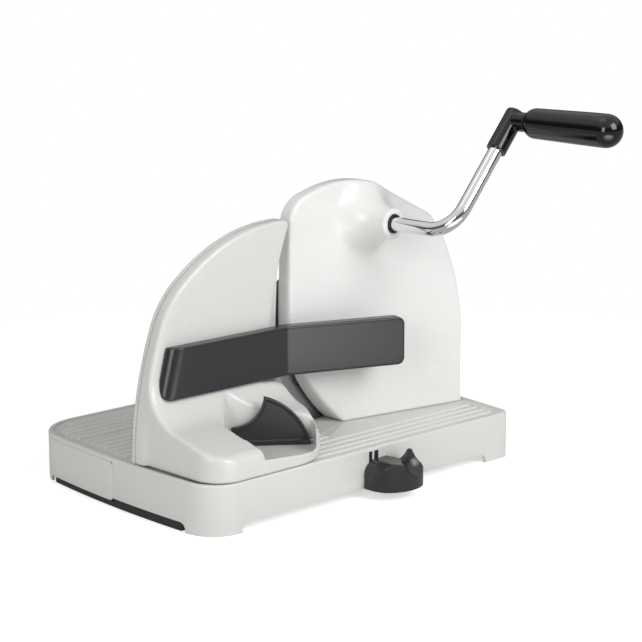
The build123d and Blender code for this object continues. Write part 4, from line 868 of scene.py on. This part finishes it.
def make_world(scene):
    """Even white room for light, plain white behind, and a darker band for metal to show."""
    world = bpy.data.worlds.new("studio")
    scene.world = world
    world.use_nodes = True
    tree = world.node_tree
    tree.nodes.clear()
    rays = add(tree, "ShaderNodeLightPath")
    direction = add(tree, "ShaderNodeTexCoord").outputs["Generated"]
    height = add(tree, "ShaderNodeSeparateXYZ", {0: direction}).outputs["Z"]
    band = add(tree, "ShaderNodeMapRange", {"Value": height, "From Min": -1.0, "From Max": 1.0})
    ramp = add(tree, "ShaderNodeValToRGB", {"Fac": band.outputs["Result"]})
    stops = ((0.0, 0.6), (0.47, 0.45), (0.53, 0.06), (0.68, 0.12), (0.76, 0.7), (1.0, 0.9))
    for place, level in stops[1:-1]:
        ramp.color_ramp.elements.new(place)
    for element, (place, level) in zip(ramp.color_ramp.elements, stops):
        element.position = place
        element.color = (level, level, level, 1)
    even = add(tree, "ShaderNodeBackground", {"Color": (1, 1, 1, 1), "Strength": 0.38})
    mirror = add(tree, "ShaderNodeBackground", {"Color": ramp.outputs["Color"], "Strength": 1.0})
    plain = add(tree, "ShaderNodeBackground", {"Color": (1, 1, 1, 1), "Strength": 1.0})
    glossy = add(
        tree, "ShaderNodeMixShader",
        {0: rays.outputs["Is Glossy Ray"], 1: even.outputs[0], 2: mirror.outputs[0]},
    )
    direct = add(
        tree, "ShaderNodeMath",
        {0: rays.outputs["Is Camera Ray"], 1: rays.outputs["Is Transmission Ray"]}, operation="MAXIMUM",
    )
    seen = add(
        tree, "ShaderNodeMixShader", {0: direct.outputs[0], 1: glossy.outputs[0], 2: plain.outputs[0]}
    )
    add(tree, "ShaderNodeOutputWorld", {"Surface": seen.outputs[0]})


def soft_box(name, place, target, width, height, power):
    """A rectangular studio light that faces the target."""
    lamp = bpy.data.lights.new(name, "AREA")
    lamp.shape = "RECTANGLE"
    lamp.size, lamp.size_y = width, height
    lamp.energy = power
    lamp_object = bpy.data.objects.new(name, lamp)
    lamp_object.location = place
    lamp_object.rotation_euler = (Vector(target) - Vector(place)).to_track_quat("-Z", "Y").to_euler()
    bpy.context.scene.collection.objects.link(lamp_object)


def make_lights():
    middle = (0, 0, 0.12)
    soft_box("key_light", (0.35, -2.1, 1.45), middle, 1.4, 1.4, 36)
    soft_box("top_light", (-0.3, 0.4, 2.2), middle, 1.2, 1.2, 3)
    soft_box("side_light", (-2.2, -0.9, 0.9), middle, 0.8, 1.2, 16)


def make_camera(scene):
    camera = bpy.data.cameras.new("camera")
    camera.sensor_width = CAMERA_SENSOR
    camera.sensor_fit = "HORIZONTAL"
    camera.lens = CAMERA_LENS
    camera.clip_start, camera.clip_end = 0.05, 100
    camera_object = bpy.data.objects.new("camera", camera)
    camera_object.location = CAMERA_PLACE
    camera_object.rotation_euler = (radians(90 - CAMERA_PITCH), 0, -radians(CAMERA_YAW))
    scene.collection.objects.link(camera_object)
    scene.camera = camera_object


# ------------------------------------------------------------------ add-on

STEPS = (
    SLICER_OT_base,
    SLICER_OT_housing,
    SLICER_OT_stop_plate,
    SLICER_OT_dark_mouldings,
    SLICER_OT_crank,
    SLICER_OT_blade,
    SLICER_OT_fasteners,
    SLICER_OT_stage,
)


class SLICER_PT_panel(bpy.types.Panel):
    """Sidebar panel with the slicer's colours, sizes and steps"""

    bl_label = "Bread Slicer"
    bl_idname = "SLICER_PT_panel"
    bl_space_type = "VIEW_3D"
    bl_region_type = "UI"
    bl_category = "Bread Slicer"

    def draw(self, context):
        for group in (context.scene.slicer_colours, context.scene.slicer_sizes):
            box = self.layout.box()
            for name in group.__annotations__:
                box.prop(group, name)
        for step in STEPS:
            self.layout.operator(step.bl_idname)


def register():
    for group in (SlicerColours, SlicerSizes, *STEPS, SLICER_PT_panel):
        bpy.utils.register_class(group)
    bpy.types.Scene.slicer_colours = PointerProperty(type=SlicerColours)
    bpy.types.Scene.slicer_sizes = PointerProperty(type=SlicerSizes)


def unregister():
    del bpy.types.Scene.slicer_colours
    del bpy.types.Scene.slicer_sizes
    for group in (SLICER_PT_panel, *reversed(STEPS), SlicerSizes, SlicerColours):
        bpy.utils.unregister_class(group)


def main():
    register()
    for step in STEPS:
        area, name = step.bl_idname.split(".")
        getattr(getattr(bpy.ops, area), name)()


if __name__ == "__main__":
    main()
